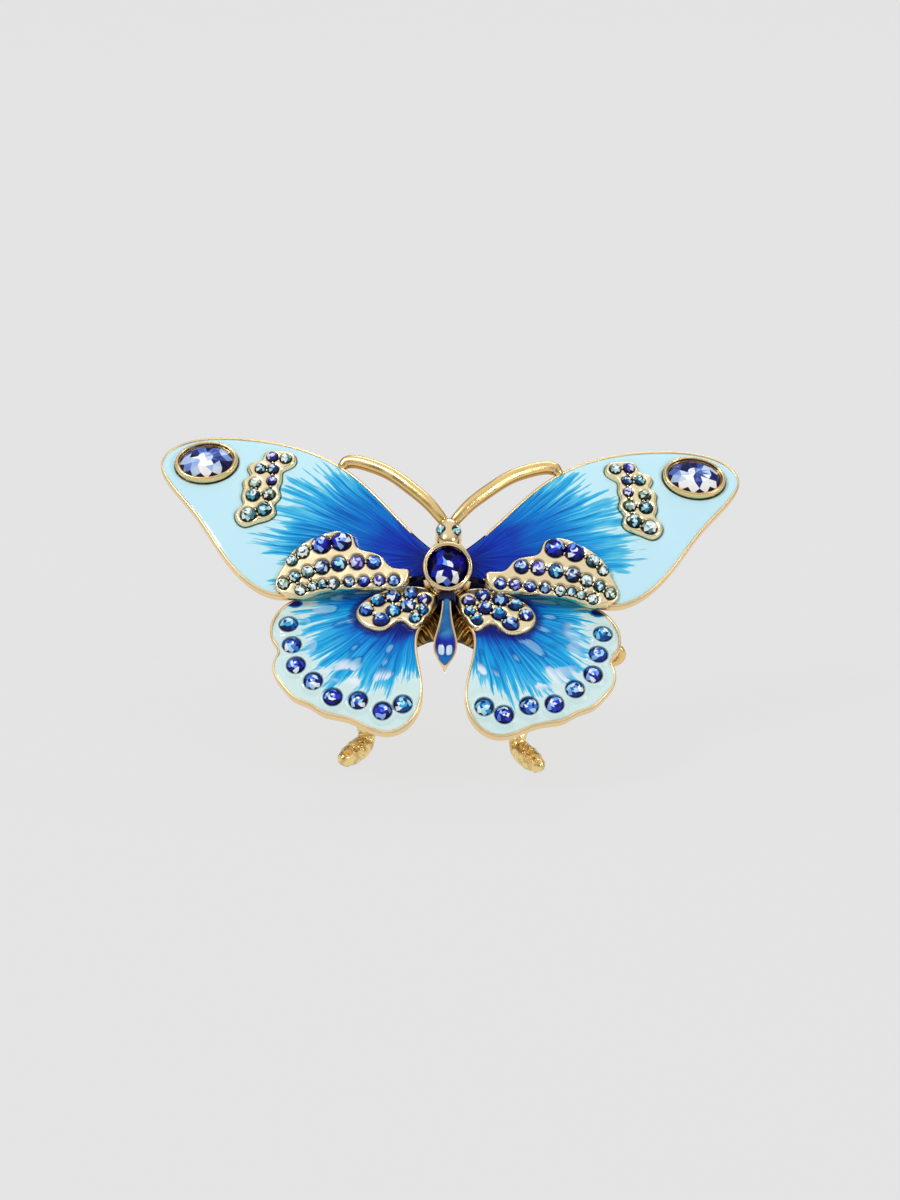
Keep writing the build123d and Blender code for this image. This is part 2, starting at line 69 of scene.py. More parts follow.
# The right wing's plane, and the crest, rise and radius of its two bows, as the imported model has
# them. Places on the wings are in millimetres: across, up the slope, and lift above the bow.
LEAN = math.radians(50)
DROOP = math.radians(4)
UP_SLOPE = Vector((0, math.sin(LEAN), math.cos(LEAN)))
BODY_NORMAL = Vector((0, -math.cos(LEAN), math.sin(LEAN)))
BODY_ORIGIN = Vector((0, 2.06, 26.2))
WING_OUT = Vector((1, 0, 0)) * math.cos(DROOP) - BODY_NORMAL * math.sin(DROOP)
WING_NORMAL = Vector((1, 0, 0)) * math.sin(DROOP) + BODY_NORMAL * math.cos(DROOP)
FORE_BOW = (9.315, 3.2, 70.0)
HIND_BOW = (-16.2, 1.2, 47.0)
ENAMEL_RISE = 0.15
BED_RISE = 0.75
BACK_LIFT = -0.38

# How far the corners of a surface may be off its lift, and how well its faces must face outwards.
SAME_LIFT = 0.012
FACING_OUT = 0.9


# Places on the wings


def wing_place(bow, across, along, lift=0.0):
    """The point above the right wing's bowed surface, in metres."""
    crest, rise, radius = bow
    slope = (along - crest) / radius
    up = crest + (radius + lift) * slope
    out = rise - radius + (radius + lift) * math.sqrt(1 - slope * slope)
    return (BODY_ORIGIN + WING_OUT * across + UP_SLOPE * up + WING_NORMAL * out) * MM


def wing_normal(bow, along):
    """The bowed surface's outward direction."""
    crest, _, radius = bow
    slope = (along - crest) / radius
    return UP_SLOPE * slope + WING_NORMAL * math.sqrt(1 - slope * slope)


def wing_plan(bow, point):
    """Distance across, distance along and lift of a point in metres, on the right wing."""
    crest, rise, radius = bow
    local = point / MM - BODY_ORIGIN
    across, up, out = local.dot(WING_OUT), local.dot(UP_SLOPE), local.dot(WING_NORMAL)
    reach = math.hypot(up - crest, out - rise + radius)
    return across, crest + (up - crest) * radius / reach, reach - radius


def blended(table, x):
    """The value at x between the pairs of a table, sorted by their first number."""
    if x <= table[0][0]:
        return table[0][1]
    for (x0, y0), (x1, y1) in zip(table, table[1:]):
        if x <= x1:
            return y0 + (y1 - y0) * (x - x0) / (x1 - x0)
    return table[-1][1]


def step_between(low, high, x):
    """0 below low, 1 above high, smooth between."""
    t = min(max((x - low) / (high - low), 0.0), 1.0)
    return t * t * (3 - 2 * t)


# Outlines and stones read from the frame


def around(loop):
    """Each member of a loop with the next."""
    return zip(loop, loop[1:] + loop[:1])


def surface_loops(node, bow, lift):
    """The edges of a node's surface at one lift, as loops of wing places, largest first."""
    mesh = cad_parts[node].data
    numbers, places, index = {}, [], []
    for vertex in mesh.vertices:
        key = tuple(round(c * 1e7) for c in vertex.co)
        if key not in numbers:
            numbers[key] = len(places)
            places.append(wing_plan(bow, vertex.co))
        index.append(numbers[key])
    follows = {}
    for polygon in mesh.polygons:
        corners = [index[i] for i in polygon.vertices]
        if all(abs(places[i][2] - lift) < SAME_LIFT for i in corners):
            along = sum(places[i][1] for i in corners) / len(corners)
            if polygon.normal.dot(wing_normal(bow, along)) > FACING_OUT:
                for a, b in around(corners):
                    follows.setdefault(a, set()).add(b)
    border = {}
    for a, ends in follows.items():
        for b in ends:
            if a not in follows.get(b, ()):
                border[a] = b
    loops = []
    while border:
        start, here = border.popitem()
        loop = [start]
        while here != start and here in border:
            loop.append(here)
            here = border.pop(here)
        loops.append([places[i][:2] for i in loop])
    if not loops:
        raise RuntimeError("no surface at that lift on " + node)
    return sorted(loops, key=lambda loop: -abs(loop_area(loop)))


def loop_area(loop):
    """A loop's area, negative where it runs clockwise."""
    return sum(a[0] * b[1] - b[0] * a[1] for a, b in around(loop)) / 2


def inside(loop, x, y):
    """Whether a place is inside a loop."""
    odd = False
    for (x0, y0), (x1, y1) in around(loop):
        if (y0 > y) != (y1 > y) and x < x0 + (y - y0) * (x1 - x0) / (y1 - y0):
            odd = not odd
    return odd


def evenly(loop, step):
    """A closed loop's points again, about one step apart."""
    points = []
    for a, b in around(loop):
        a, b = Vector(a), Vector(b)
        parts = max(1, round((b - a).length / step))
        points += [a.lerp(b, part / parts) for part in range(parts)]
    kept = [points[0]]
    for point in points[1:]:
        if (point - kept[-1]).length > 0.6 * step:
            kept.append(point)
    return kept


def moved_outline(loop, outwards):
    """A loop with its points moved away from its inside."""
    points = [Vector(p) for p in loop]
    if loop_area(loop) < 0:
        points.reverse()
    moved = []
    for i, point in enumerate(points):
        heading = (points[(i + 1) % len(points)] - points[i - 1]).normalized()
        moved.append(point + Vector((heading.y, -heading.x)) * outwards)
    return moved


def ray_table(loop, root):
    """How far the loop lies from a root place, for each direction, without sudden steps."""
    count = 180
    reaches = [0.0] * count
    for point in evenly(loop, 0.05):
        out = point - Vector(root)
        share = int((math.atan2(out.y, out.x) / math.tau + 0.5) * count) % count
        reaches[share] = max(reaches[share], out.length)
    table = []
    for i in range(count):
        near = [reaches[(i + k) % count] for k in range(-4, 5)]
        near = [reach for reach in near if reach > 0] or [1.0]
        table.append((((i + 0.5) / count - 0.5) * math.tau, sum(near) / len(near)))
    return table


def tree_of(points):
    """A search tree over flat points."""
    tree = KDTree(len(points))
    for number, point in enumerate(points):
        tree.insert((point[0], point[1], 0), number)
    tree.balance()
    return tree


def distance_in(tree, across, along):
    """How far a place is from the nearest point of a tree."""
    return tree.find((across, along, 0))[2]


class Stone:
    """One stone of the frame: its place, its directions, its radii and its height."""

    def __init__(self, faces):
        areas = {}
        for face in faces:
            key = tuple(round(c, 2) for c in face.normal)
            areas[key] = areas.get(key, 0) + face.calc_area()
        self.axis = -Vector(max(areas, key=areas.get)).normalized()
        corners = {vertex.index: vertex.co.copy() for face in faces for vertex in face.verts}
        levels = {i: place.dot(self.axis) for i, place in corners.items()}
        lowest = min(levels.values())
        back = [corners[i] for i in sorted(corners) if levels[i] - lowest < 3e-5]
        centre = sum(back, Vector()) / len(back)
        far = max(back, key=lambda p: (p - centre).length)
        self.centre = centre / MM
        self.long_way = (far - centre).normalized()
        self.short_way = self.axis.cross(self.long_way)
        self.radius = (far - centre).length / MM
        self.short = max(abs((p - centre).dot(self.short_way)) for p in back) / MM
        self.height = (max(levels.values()) - lowest) / MM

    def place(self, turn, long_reach, short_reach, height):
        """A point at a turn about the stone, from its reach each way and its height."""
        out = self.long_way * math.cos(turn) * long_reach
        side = self.short_way * math.sin(turn) * short_reach
        return self.centre + out + side + self.axis * height


def stones_of(node):
    """The stones of a node, from the lowest up."""
    mesh = bmesh.new()
    mesh.from_mesh(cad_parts[node].data)
    bmesh.ops.remove_doubles(mesh, verts=mesh.verts, dist=1e-6)
    mesh.verts.index_update()
    found, seen = [], set()
    for first in mesh.faces:
        if first in seen:
            continue
        faces = [first]
        seen.add(first)
        for face in faces:
            for other in [f for vertex in face.verts for f in vertex.link_faces]:
                if other not in seen:
                    seen.add(other)
                    faces.append(other)
        found.append(Stone(faces))
    mesh.free()
    return sorted(found, key=lambda stone: (round(stone.centre.z, 2), round(stone.centre.x, 2)))


# Meshes


def linked(name, data):
    """A new object in the scene."""
    thing = bpy.data.objects.new(name, data)
    bpy.context.scene.collection.objects.link(thing)
    return thing


def new_piece(name, vertices, faces, slot, material, replaces=(), smooth=True):
    """An object in the shared frame that rides on the body. Vertices are in metres."""
    mesh = bpy.data.meshes.new(name)
    mesh.from_pydata([tuple(v) for v in vertices], [], faces)
    mesh.validate()
    piece = linked(name, mesh)
    mesh.polygons.foreach_set("use_smooth", [smooth] * len(mesh.polygons))
    mesh.materials.append(material)
    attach(piece, BODY)
    if replaces:
        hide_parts(*replaces)
    return piece


def both_sides(name, vertices, faces, slot, material, node=None):
    """A piece of the right side and its left-hand twin, each in place of a node on its side."""
    pieces = []
    for side in SIDES:
        if side == "left":
            vertices = [Vector((-v[0], v[1], v[2])) for v in vertices]
            faces = [tuple(reversed(face)) for face in faces]
        replaced = [node + "_" + side] if node else ()
        pieces.append(new_piece(name + "_" + side, vertices, faces, slot, material, replaced))
    return pieces


def add_map(piece, name, values, elsewhere):
    """A UV map from a pair of numbers for each of the first vertices, and one for the others."""
    layer = piece.data.uv_layers.new(name=name)
    for loop in piece.data.loops:
        number = loop.vertex_index
        layer.data[loop.index].uv = values[number] if number < len(values) else elsewhere


def add_faces(mesh_vertices, mesh_faces, vertices, faces):
    """Adds one small mesh to a growing one."""
    start = len(mesh_vertices)
    mesh_vertices += vertices
    mesh_faces += [tuple(start + i for i in face) for face in faces]


def filled_outline(loops, spacing=None, keep_off=0.0):
    """Triangles that fill the first loop, without the others. With a spacing, also with points
    inside, which keep off the loops."""
    points, edges = [], []
    for loop in loops:
        start, count = len(points), len(loop)
        points += [Vector(p) for p in loop]
        edges += [(start + i, start + (i + 1) % count) for i in range(count)]
    if spacing:
        points += points_inside(loops, spacing, keep_off)
    found = delaunay_2d_cdt(points, edges, [], 0, 1e-5, True)
    places, triangles, origins = found[0], found[2], found[3]
    new_index = {}
    for number, sources in enumerate(origins):
        for source in sources:
            new_index[source] = number
    rings, start = [], 0
    for loop in loops:
        ring = [new_index[start + i] for i in range(len(loop))]
        rings.append([i for i, before in zip(ring, ring[-1:] + ring[:-1]) if i != before])
        start += len(loop)
    faces = triangles_inside(places, triangles, rings)
    used = sorted({i for face in faces for i in face})
    order = {old: new for new, old in enumerate(used)}
    faces = [tuple(order[i] for i in face) for face in faces]
    rings = [[order[i] for i in ring if i in order] for ring in rings]
    return [places[i] for i in used], faces, rings


def points_inside(loops, spacing, keep_off):
    """Points in staggered rows over the first loop's box, clear of the loops."""
    row_height = spacing * 0.866
    near = tree_of([p for loop in loops for p in evenly(loop, spacing / 3)])
    low = [min(p[k] for p in loops[0]) for k in (0, 1)]
    high = [max(p[k] for p in loops[0]) for k in (0, 1)]
    found = []
    for row in range(int((high[1] - low[1]) / row_height) + 1):
        for column in range(int((high[0] - low[0]) / spacing) + 1):
            across = low[0] + (column + 0.5 * (row % 2)) * spacing
            along = low[1] + row * row_height
            if distance_in(near, across, along) > keep_off:
                found.append(Vector((across, along)))
    return found


def triangles_inside(places, triangles, rings):
    """The triangles on the left of the rings, all turned the same way round."""
    faces, beside = [], {}
    for a, b, c in triangles:
        p, q, r = places[a], places[b], places[c]
        turn = (q[0] - p[0]) * (r[1] - p[1]) - (r[0] - p[0]) * (q[1] - p[1])
        faces.append((a, b, c) if turn > 0 else (a, c, b))
    for number, face in enumerate(faces):
        for edge in around(face):
            beside[edge] = number
    fence = {edge for ring in rings for edge in around(ring)}
    waiting = [beside[edge] for edge in fence if edge in beside]
    reached = set(waiting)
    while waiting:
        for a, b in around(faces[waiting.pop()]):
            other = beside.get((b, a), -1)
            if other >= 0 and other not in reached and not {(a, b), (b, a)} & fence:
                reached.add(other)
                waiting.append(other)
    return [faces[number] for number in sorted(reached)]


def closed_slab(bow, places, faces, rings, tops):
    """Vertices and faces of a slab on a wing: its filled top, its walls and a plain back."""
    vertices, slab_faces, lowered = list(tops), list(faces), {}
    for ring in rings:
        for i in ring:
            if i not in lowered:
                lowered[i] = len(vertices)
                vertices.append(wing_place(bow, places[i][0], places[i][1], BACK_LIFT))
    walled = {edge for face in faces for edge in around(face)}
    for a, b in list(walled):
        if (b, a) not in walled and a in lowered and b in lowered:
            slab_faces.append((b, a, lowered[a], lowered[b]))
    _, back_faces, back_rings = filled_outline([[places[i] for i in ring] for ring in rings])
    matching = {}
    for ring, back_ring in zip(rings, back_rings):
        for i, j in zip(ring, back_ring):
            matching[j] = lowered[i]
    for face in back_faces:
        if all(i in matching for i in face):
            slab_faces.append(tuple(matching[i] for i in reversed(face)))
    return vertices, slab_faces


def swept(count, row, closed=True):
    """A skin over rows of points. One that isn't closed has flat ends."""
    vertices = [point for number in range(count) for point in row(number)]
    width = len(vertices) // count
    faces = []
    for number in range(count if closed else count - 1):
        here, after = number * width, (number + 1) % count * width
        for i in range(width):
            j = (i + 1) % width
            faces.append((here + i, here + j, after + j, after + i))
    if not closed:
        faces.append(tuple(reversed(range(width))))
        faces.append(tuple(range((count - 1) * width, count * width)))
    return vertices, faces


def smooth_path(points, steps):
    """Places on a smooth curve through rows of numbers, some steps for each run."""
    rows = [Vector(p) for p in points]
    rows = [2 * rows[0] - rows[1]] + rows + [2 * rows[-1] - rows[-2]]
    found = []
    for a, b, c, d in zip(rows, rows[1:], rows[2:], rows[3:]):
        bend = 2 * a - 5 * b + 4 * c - d
        twist = 3 * b - a - 3 * c + d
        for step in range(steps):
            t = step / steps
            found.append(0.5 * (2 * b + (c - a) * t + bend * t * t + twist * t ** 3))
    found.append(rows[-2])
    return found


def tube(table, upright, corners, shape=None):
    """A round rod through a table's places and radii, in millimetres, with its ends rounded off.
    upright points to corner 0."""
    path = [(Vector(row[:3]), row[3]) for row in smooth_path(table, 8)]
    for _ in ("start", "end"):
        path.reverse()
        before, (end, width) = path[-2][0], path[-1]
        heading = (end - before).normalized()
        for turn in (0.5, 0.95, 1.3, 1.5):
            path.append((end + heading * width * math.sin(turn), width * math.cos(turn)))

    def row(i):
        heading = path[min(i + 1, len(path) - 1)][0] - path[max(i - 1, 0)][0]
        side = heading.normalized().cross(upright).normalized()
        up = side.cross(heading.normalized())
        centre, width = path[i]
        ring = []
        for k in range(corners):
            turn = math.tau * k / corners
            reach = width * (shape(turn) if shape else 1.0)
            ring.append((centre + (up * math.cos(turn) + side * math.sin(turn)) * reach) * MM)
        return ring

    return swept(len(path), row, closed=False)


def small_ball(centre, axis, radius):
    """A grain: a round cap that stands on a wall."""
    side = axis.orthogonal().normalized()
    other = axis.cross(side)
    rings = [(1.0, -0.63), (1.0, 0.0), (0.86, 0.45), (0.5, 0.774)]
    turns = [math.tau * corner / 10 for corner in range(10)]

    def row(number):
        width, height = rings[number]
        middle = centre + axis * height * radius
        return [middle + (side * math.cos(t) + other * math.sin(t)) * width * radius for t in turns]

    vertices, faces = swept(len(rings), row, closed=False)
    vertices.append(centre + axis * 0.9 * radius)
    faces += [(a, b, len(vertices) - 1) for a, b in around(faces.pop())]
    return vertices, faces


# Materials


def linear(colour):
    """A colour as the eye reads it, 0 to 1 or 0 to 255, for a shader's socket."""
    scale = 255 if max(colour) > 1 else 1
    lit = Color([c / scale for c in colour[:3]]).from_srgb_to_scene_linear()
    return (lit.r, lit.g, lit.b, 1.0)


class Shader:
    """A material's nodes, wired in short calls."""

    def __init__(self, name, world=None):
        self.owner = world or bpy.data.materials.new(name)
        self.owner.use_nodes = True
        self.tree = self.owner.node_tree
        self.tree.nodes.clear()

    def node(self, kind, inputs=None, **settings):
        """A node of a kind, with its inputs joined or set."""
        node = self.tree.nodes.new("ShaderNode" + kind)
        for name, value in settings.items():
            setattr(node, name, value)
        for name, value in (inputs or {}).items():
            if isinstance(value, bpy.types.NodeSocket):
                self.tree.links.new(value, node.inputs[name])
            else:
                node.inputs[name].default_value = value
        return node

    def maths(self, operation, *values):
        return self.node("Math", dict(enumerate(values)), operation=operation).outputs[0]

    def times(self, first, *others):
        """The product of all of them."""
        for other in others:
            first = self.maths("MULTIPLY", first, other)
        return first

    def scaled(self, value, scale, start):
        """The value times the scale, added to the start."""
        return self.maths("MULTIPLY_ADD", value, scale, start)

    def range(self, value, low, high, start=0.0, end=1.0, kind="SMOOTHSTEP"):
        """From start to end while the value goes from low to high."""
        inputs = {0: value, 1: low, 2: high, 3: start, 4: end}
        return self.node("MapRange", inputs, interpolation_type=kind).outputs[0]

    def mix(self, factor, a, b):
        return self.node("Mix", {0: factor, 6: a, 7: b}, data_type="RGBA").outputs[2]

    def painted(self, tint, layers):
        """Paint over a tint. Each layer has a colour, a strength and the ranges it keeps to."""
        for colour, strength, *zones in layers:
            share = self.times(*[self.range(*zone) for zone in zones], strength)
            tint = self.mix(share, tint, linear(colour))
        return tint

    def ramp(self, factor, stops):
        node = self.node("ValToRGB", {0: factor})
        elements = node.color_ramp.elements
        while len(elements) < len(stops):
            elements.new(0.5)
        for element, (position, colour) in zip(elements, stops):
            element.position = position
            element.color = linear(colour)
        return node.outputs[0]

    def uv(self, name):
        """The two numbers of a UV map."""
        return self.parts(self.node("UVMap", uv_map=name).outputs[0])[:2]

    def parts(self, vector):
        return list(self.node("SeparateXYZ", {0: vector}).outputs)

    def vector(self, x, y, z=0.0):
        return self.node("CombineXYZ", {0: x, 1: y, 2: z}).outputs[0]

    def noise(self, vector, scale, detail=2.0, roughness=0.5, distortion=0.0):
        inputs = {"Vector": vector, "Scale": scale, "Detail": detail}
        inputs.update({"Roughness": roughness, "Distortion": distortion})
        return self.node("TexNoise", inputs).outputs[0]

    def place(self):
        return self.node("TexCoord").outputs["Object"]

    def surface(self, inputs, height=None, strength=0.0, distance=0.0):
        """Ends a material with its surface, bumped by a height. Gives back the material."""
        if height is not None:
            bump = {"Height": height, "Strength": strength, "Distance": distance * MM}
            inputs["Normal"] = self.node("Bump", bump).outputs[0]
        shader = self.node("BsdfPrincipled", inputs)
        self.node("OutputMaterial", {0: shader.outputs[0]})
        return self.owner


def gold(
    name, light, shade, roughness=0.2, hammered=0.0, grain=0.25, depth=0.9, seat_shadows=False,
    painted_root_shade=False,
):
    """Old gold: bright in patches of wear, with painted shade brown in hollows and dark by stones.
    """
    shader = Shader(name)
    place = shader.place()
    # Painted shade: the gold turns brown where ambient occlusion finds a hollow.
    hollow_shade = shader.node("AmbientOcclusion", {"Distance": depth * MM}, samples=6).outputs["AO"]
    patches = shader.noise(place, 420.0, 3.0)
    wear_and_shade = shader.maths("ADD", hollow_shade, shader.scaled(patches, 0.36, -0.18))
    height = shader.times(shader.noise(place, 2600.0), grain)
    strength, distance = 0.35, 0.12
    if hammered:
        strength, distance = 1.4 * hammered, 0.3
        swirl = shader.node("TexNoise", {"Vector": place, "Scale": 700.0}).outputs["Color"]
        wave = shader.mix(0.0006, place, swirl)
        dents = shader.node("TexVoronoi", {"Vector": wave, "Scale": 1150.0}).outputs[0]
        height = shader.scaled(dents, hammered, height)
        dented = shader.range(dents, 0.45, 0.75, 0.0, 0.4 * hammered)
        wear_and_shade = shader.maths("SUBTRACT", wear_and_shade, dented)
    tint = shader.mix(shader.range(wear_and_shade, 0.35, 0.92), linear(shade), linear(light))
    # Painted shadow: near-black gold where a stone or grain is close, by the seat map.
    if seat_shadows:
        tint = shader.painted(tint, [((30, 20, 14), 1.0, (shader.uv("seat")[0], 0.1, 0.04))])
    # Painted shade: dark navy over the gold near the body's middle, where the wings hide it.
    if painted_root_shade:
        across = shader.maths("ABSOLUTE", shader.parts(place)[0])
        tint = shader.painted(tint, [((16, 18, 62), 1.0, (across, 0.0064, 0.0050))])
    rough = shader.range(patches, 0.3, 0.75, roughness * 0.75, roughness * 1.5)
    finish = {"Base Color": tint, "Metallic": 1.0, "Roughness": rough}
    return shader.surface(finish, height, strength, distance)


def shaded_brushed_plate():
    """Gold painted dark as shade, with bright diagonal scratches."""
    shader = Shader("shaded_brushed_gold")
    x, y, z = shader.parts(shader.place())
    side = shader.maths("ABSOLUTE", x)
    along = shader.times(shader.maths("ADD", side, z), 260.0)
    across = shader.times(shader.maths("SUBTRACT", side, z), 2200.0)
    streaks = shader.noise(shader.vector(along, across, y), 1.0, 3.0, 0.6)
    # The dark end of the ramp is painted shade under the abdomen; the bright end is the scratches.
    tint = shader.ramp(streaks, [(0.40, (28, 18, 8)), (0.52, (84, 60, 28)), (0.66, (206, 166, 88))])
    finish = {"Base Color": tint, "Metallic": 1.0, "Roughness": 0.3}
    return shader.surface(finish, streaks, 0.4, 0.2)


def crystal(name, shades):
    """Foil-backed glass. Each facet has its own painted flash, from shade to a highlight."""
    shader = Shader(name)
    cloud = shader.scaled(shader.noise(shader.place(), 1500.0, 1.0), 0.12, -0.06)
    flash = shader.maths("ADD", shader.uv("facet")[0], cloud)
    tint = shader.ramp(flash, list(zip((0.0, 0.25, 0.5, 0.7, 1.0), shades)))
    finish = {"Base Color": tint, "Roughness": 0.2, "Specular IOR Level": 0.1}
    coat = {"Coat Weight": 0.35, "Coat IOR": 1.45, "Coat Roughness": 0.02}
    return shader.surface(finish | coat)


def gloss_enamel(shader, tint, height=None, coat=0.8):
    """Ends an enamel's nodes with a clear, slightly uneven gloss."""
    swell = shader.noise(shader.place(), 260.0, 1.0)
    if height is not None:
        swell = shader.scaled(height, 0.5, swell)
    finish = {"Base Color": tint, "Roughness": 0.16, "Specular IOR Level": 0.08}
    clear = {"Coat Weight": coat, "Coat IOR": 1.32, "Coat Roughness": 0.03}
    return shader.surface(finish | clear, swell, 0.25, 0.3)


class Strokes(Shader):
    """Paint in strokes that fan out of a wing's root, worked out from the map of strokes."""

    def __init__(self, name):
        super().__init__(name)
        self.reach, swing = self.uv("stroke")
        self.swing = self.scaled(self.bristles(swing, 2.2, 3.5, 1.0), 0.11, swing)
        self.hair = self.bristles(self.swing, 2.6, 44.0, 3.0)
        self.thread = self.bristles(self.swing, 2.0, 64.0, 2.0)
        self.tuft = self.bristles(self.swing, 1.3, 15.0, 2.0)
        clump = self.bristles(self.swing, 4.2, 8.0, 2.0)
        spread = self.scaled(self.hair, 0.62, -0.735)
        spread = self.scaled(self.tuft, 0.55, spread)
        spread = self.scaled(clump, 0.3, spread)
        fading = self.range(self.reach, 0.1, 0.8, 0.3, 1.0)
        self.ragged = self.scaled(spread, fading, self.reach)
        self.edge, self.foot = self.uv("edge")

    def bristles(self, swing, along, across, detail):
        """Noise that is drawn out along the strokes."""
        place = self.vector(self.times(self.reach, along), self.times(swing, across))
        return self.noise(place, 1.0, detail, 0.55)

    def lines(self, dark, light, light_share):
        """Layers of fine dark lines towards the root, and of light ones towards the ends."""
        ends = [(self.ragged, 0.55, 0.85), (self.ragged, 1.03, 0.97)]
        return [
            (dark, 0.5, (self.thread, 0.5, 0.6), (self.ragged, 1.0, 0.72)),
            (light, light_share, (self.thread, 0.46, 0.36), *ends),
        ]

    def glazed(self, tint, height):
        """Ends the paint with a thin dark line along the enamel's edges, and the gloss."""
        tint = self.painted(tint, [((18, 30, 70), 0.7, (self.edge, 0.2, 0.06))])
        return gloss_enamel(self, tint, height, self.range(self.ragged, 0.5, 1.0, 0.22, 0.7))


def fore_enamel_material(colours):
    """Deep blue at the root, then azure and cyan strokes that end in pale aqua."""
    paint = Strokes("fore_enamel")
    hair, tuft, ragged = paint.hair, paint.tuft, paint.ragged
    stops = [
        (0.0, (6, 8, 100)), (0.12, (8, 20, 134)), (0.24, (10, 50, 176)), (0.36, colours.royal),
        (0.48, colours.azure), (0.66, (6, 138, 218)), (0.86, colours.cyan), (0.96, (84, 196, 228)),
        (0.99, (160, 222, 238)), (1.0, colours.pale),
    ]
    layers = [
        ((20, 84, 196), 0.6, (hair, 0.5, 0.6), (ragged, 0.5, 0.3)),
        ((8, 70, 176), 0.55, (hair, 0.52, 0.62), (ragged, 0.4, 0.55), (ragged, 0.92, 0.72)),
        ((40, 176, 232), 0.45, (tuft, 0.46, 0.36), (ragged, 0.3, 0.5), (ragged, 0.9, 0.7)),
    ]
    layers += paint.lines((6, 34, 136), (120, 214, 240), 0.5)
    tint = paint.painted(paint.ramp(ragged, stops), layers)
    return paint.glazed(tint, paint.times(hair, paint.range(ragged, 1.05, 0.85)))


def hind_enamel_material(colours):
    """Navy and painted shade by the stone bed, cyan strokes, a ring of pale patches, a mint border.
    """
    paint = Strokes("hind_enamel")
    hair, reach = paint.hair, paint.reach
    stops = [
        (0.0, (5, 4, 60)), (0.36, colours.navy), (0.43, (10, 62, 164)), (0.52, (6, 112, 204)),
        (0.64, (4, 152, 222)), (0.87, (14, 174, 230)), (0.95, (110, 206, 232)),
        (0.98, (226, 242, 248)), (1.0, colours.mint),
    ]
    place = {"Vector": paint.vector(paint.times(reach, 5.0), paint.times(paint.swing, 7.0))}
    cells = paint.node("TexVoronoi", place | {"Scale": 1.0}, feature="SMOOTH_F1").outputs[0]
    patch = paint.scaled(hair, 0.3, paint.maths("SUBTRACT", cells, 0.15))
    near_bed_shade = paint.scaled(hair, -2.4, paint.maths("ADD", paint.uv("bed")[0], 1.2))
    band = [(reach, 0.42, 0.55), (reach, 0.9, 0.76)]
    outer = [(reach, 0.74, 0.84), (reach, 1.0, 0.92), (patch, 0.36, 0.3)]
    layers = paint.lines((4, 52, 150), (120, 212, 238), 0.4) + [
        ((156, 204, 224), 0.5, (patch, 0.26, 0.18), *band),
        ((4, 70, 160), 0.5, (patch, 0.2, 0.28), (patch, 0.38, 0.3), *band),
        # White patches in the outer ring, whitest towards the foot, where they are painted
        # highlights.
        ((240, 246, 252), 0.85, *outer, (paint.foot, 0.0, 1.0, 0.3, 1.0)),
        # The deep navy next to the root bed is the enamel's navy darkened as painted shade of the
        # bed.
        ((8, 22, 118), 0.8, (near_bed_shade, 1.05, 0.45)),
    ]
    return paint.glazed(paint.painted(paint.ramp(paint.ragged, stops), layers), hair)


# The abdomen's drop, in metres above the floor: where its neck turns to its bulb, and the bulb's
# paler foot. Then the painted glints: distance from the middle, height, half width and half height.
NECK_END = (0.0207, 0.0197)
BULB_FOOT = (0.0190, 0.0176)
GLINTS = (0.00053, 0.0187, 0.00042, 0.0006)


def body_enamel_material(colours):
    """The abdomen's drop: teal neck, deep blue bulb, and a painted glint on each side."""
    shader = Shader("body_enamel")
    place = shader.place()
    across, _, height = shader.parts(place)
    streaks = shader.noise(place, 420.0, 3.0, 0.6, 0.8)
    neck = shader.ramp(streaks, [(0.3, (6, 60, 128)), (0.5, colours.teal), (0.7, (44, 138, 190))])
    bulb = shader.ramp(streaks, [(0.3, (8, 14, 120)), (0.7, (18, 44, 176))])
    bulb = shader.painted(bulb, [((16, 112, 190), 1.0, (height, *BULB_FOOT))])
    tint = shader.mix(shader.range(height, *NECK_END), neck, bulb)
    # Painted highlights: a pale glint on each side of the bulb.
    middle, level, width, tall = GLINTS
    aside = shader.maths("SUBTRACT", shader.maths("ABSOLUTE", across), middle)
    above = shader.maths("SUBTRACT", height, level)
    reach = 0.0
    for offset, radius in ((aside, width), (above, tall)):
        offset = shader.maths("ABSOLUTE", shader.maths("DIVIDE", offset, radius))
        reach = shader.maths("ADD", reach, shader.maths("POWER", offset, 3.0))
    return gloss_enamel(shader, shader.painted(tint, [((214, 238, 250), 0.92, (reach, 1.2, 0.6))]))


# Settings a user would change


def length_property(label, description, default, low=0.00005):
    return bpy.props.FloatProperty(
        name=label, description=description, default=default, min=low, unit="LENGTH"
    )


def colour_property(label, description, default):
    return bpy.props.FloatVectorProperty(
        name=label, description=description, default=default, size=3, min=0.0, max=1.0,
        subtype="COLOR_GAMMA",
    )


class OrnamentSizes(bpy.types.PropertyGroup):
    enamel_grid: length_property(
        "Enamel grid", "Distance between the points of the enamel's surface", 0.00028, 0.0001
    )
    bed_grid: length_property(
        "Bed grid", "Distance between the points of a stone bed's surface", 0.00014, 0.00008
    )
    bead_radius: length_property(
        "Bead radius", "Largest radius of the gold grains between stones", 0.0002
    )
    rim_thin: length_property(
        "Thin rim", "Radius of the gold edge along the front of a wing", 0.00007
    )
    rim_thick: length_property(
        "Thick rim", "Radius of the gold edge along the foot of a wing", 0.0002
    )
    hind_border: length_property(
        "Hind border", "Width of the pale border round a hind wing", 0.0044, 0.0
    )
    boss_rise: length_property(
        "Boss rise", "Height of the enamel swelling round a margin stone", 0.00028, 0.0
    )


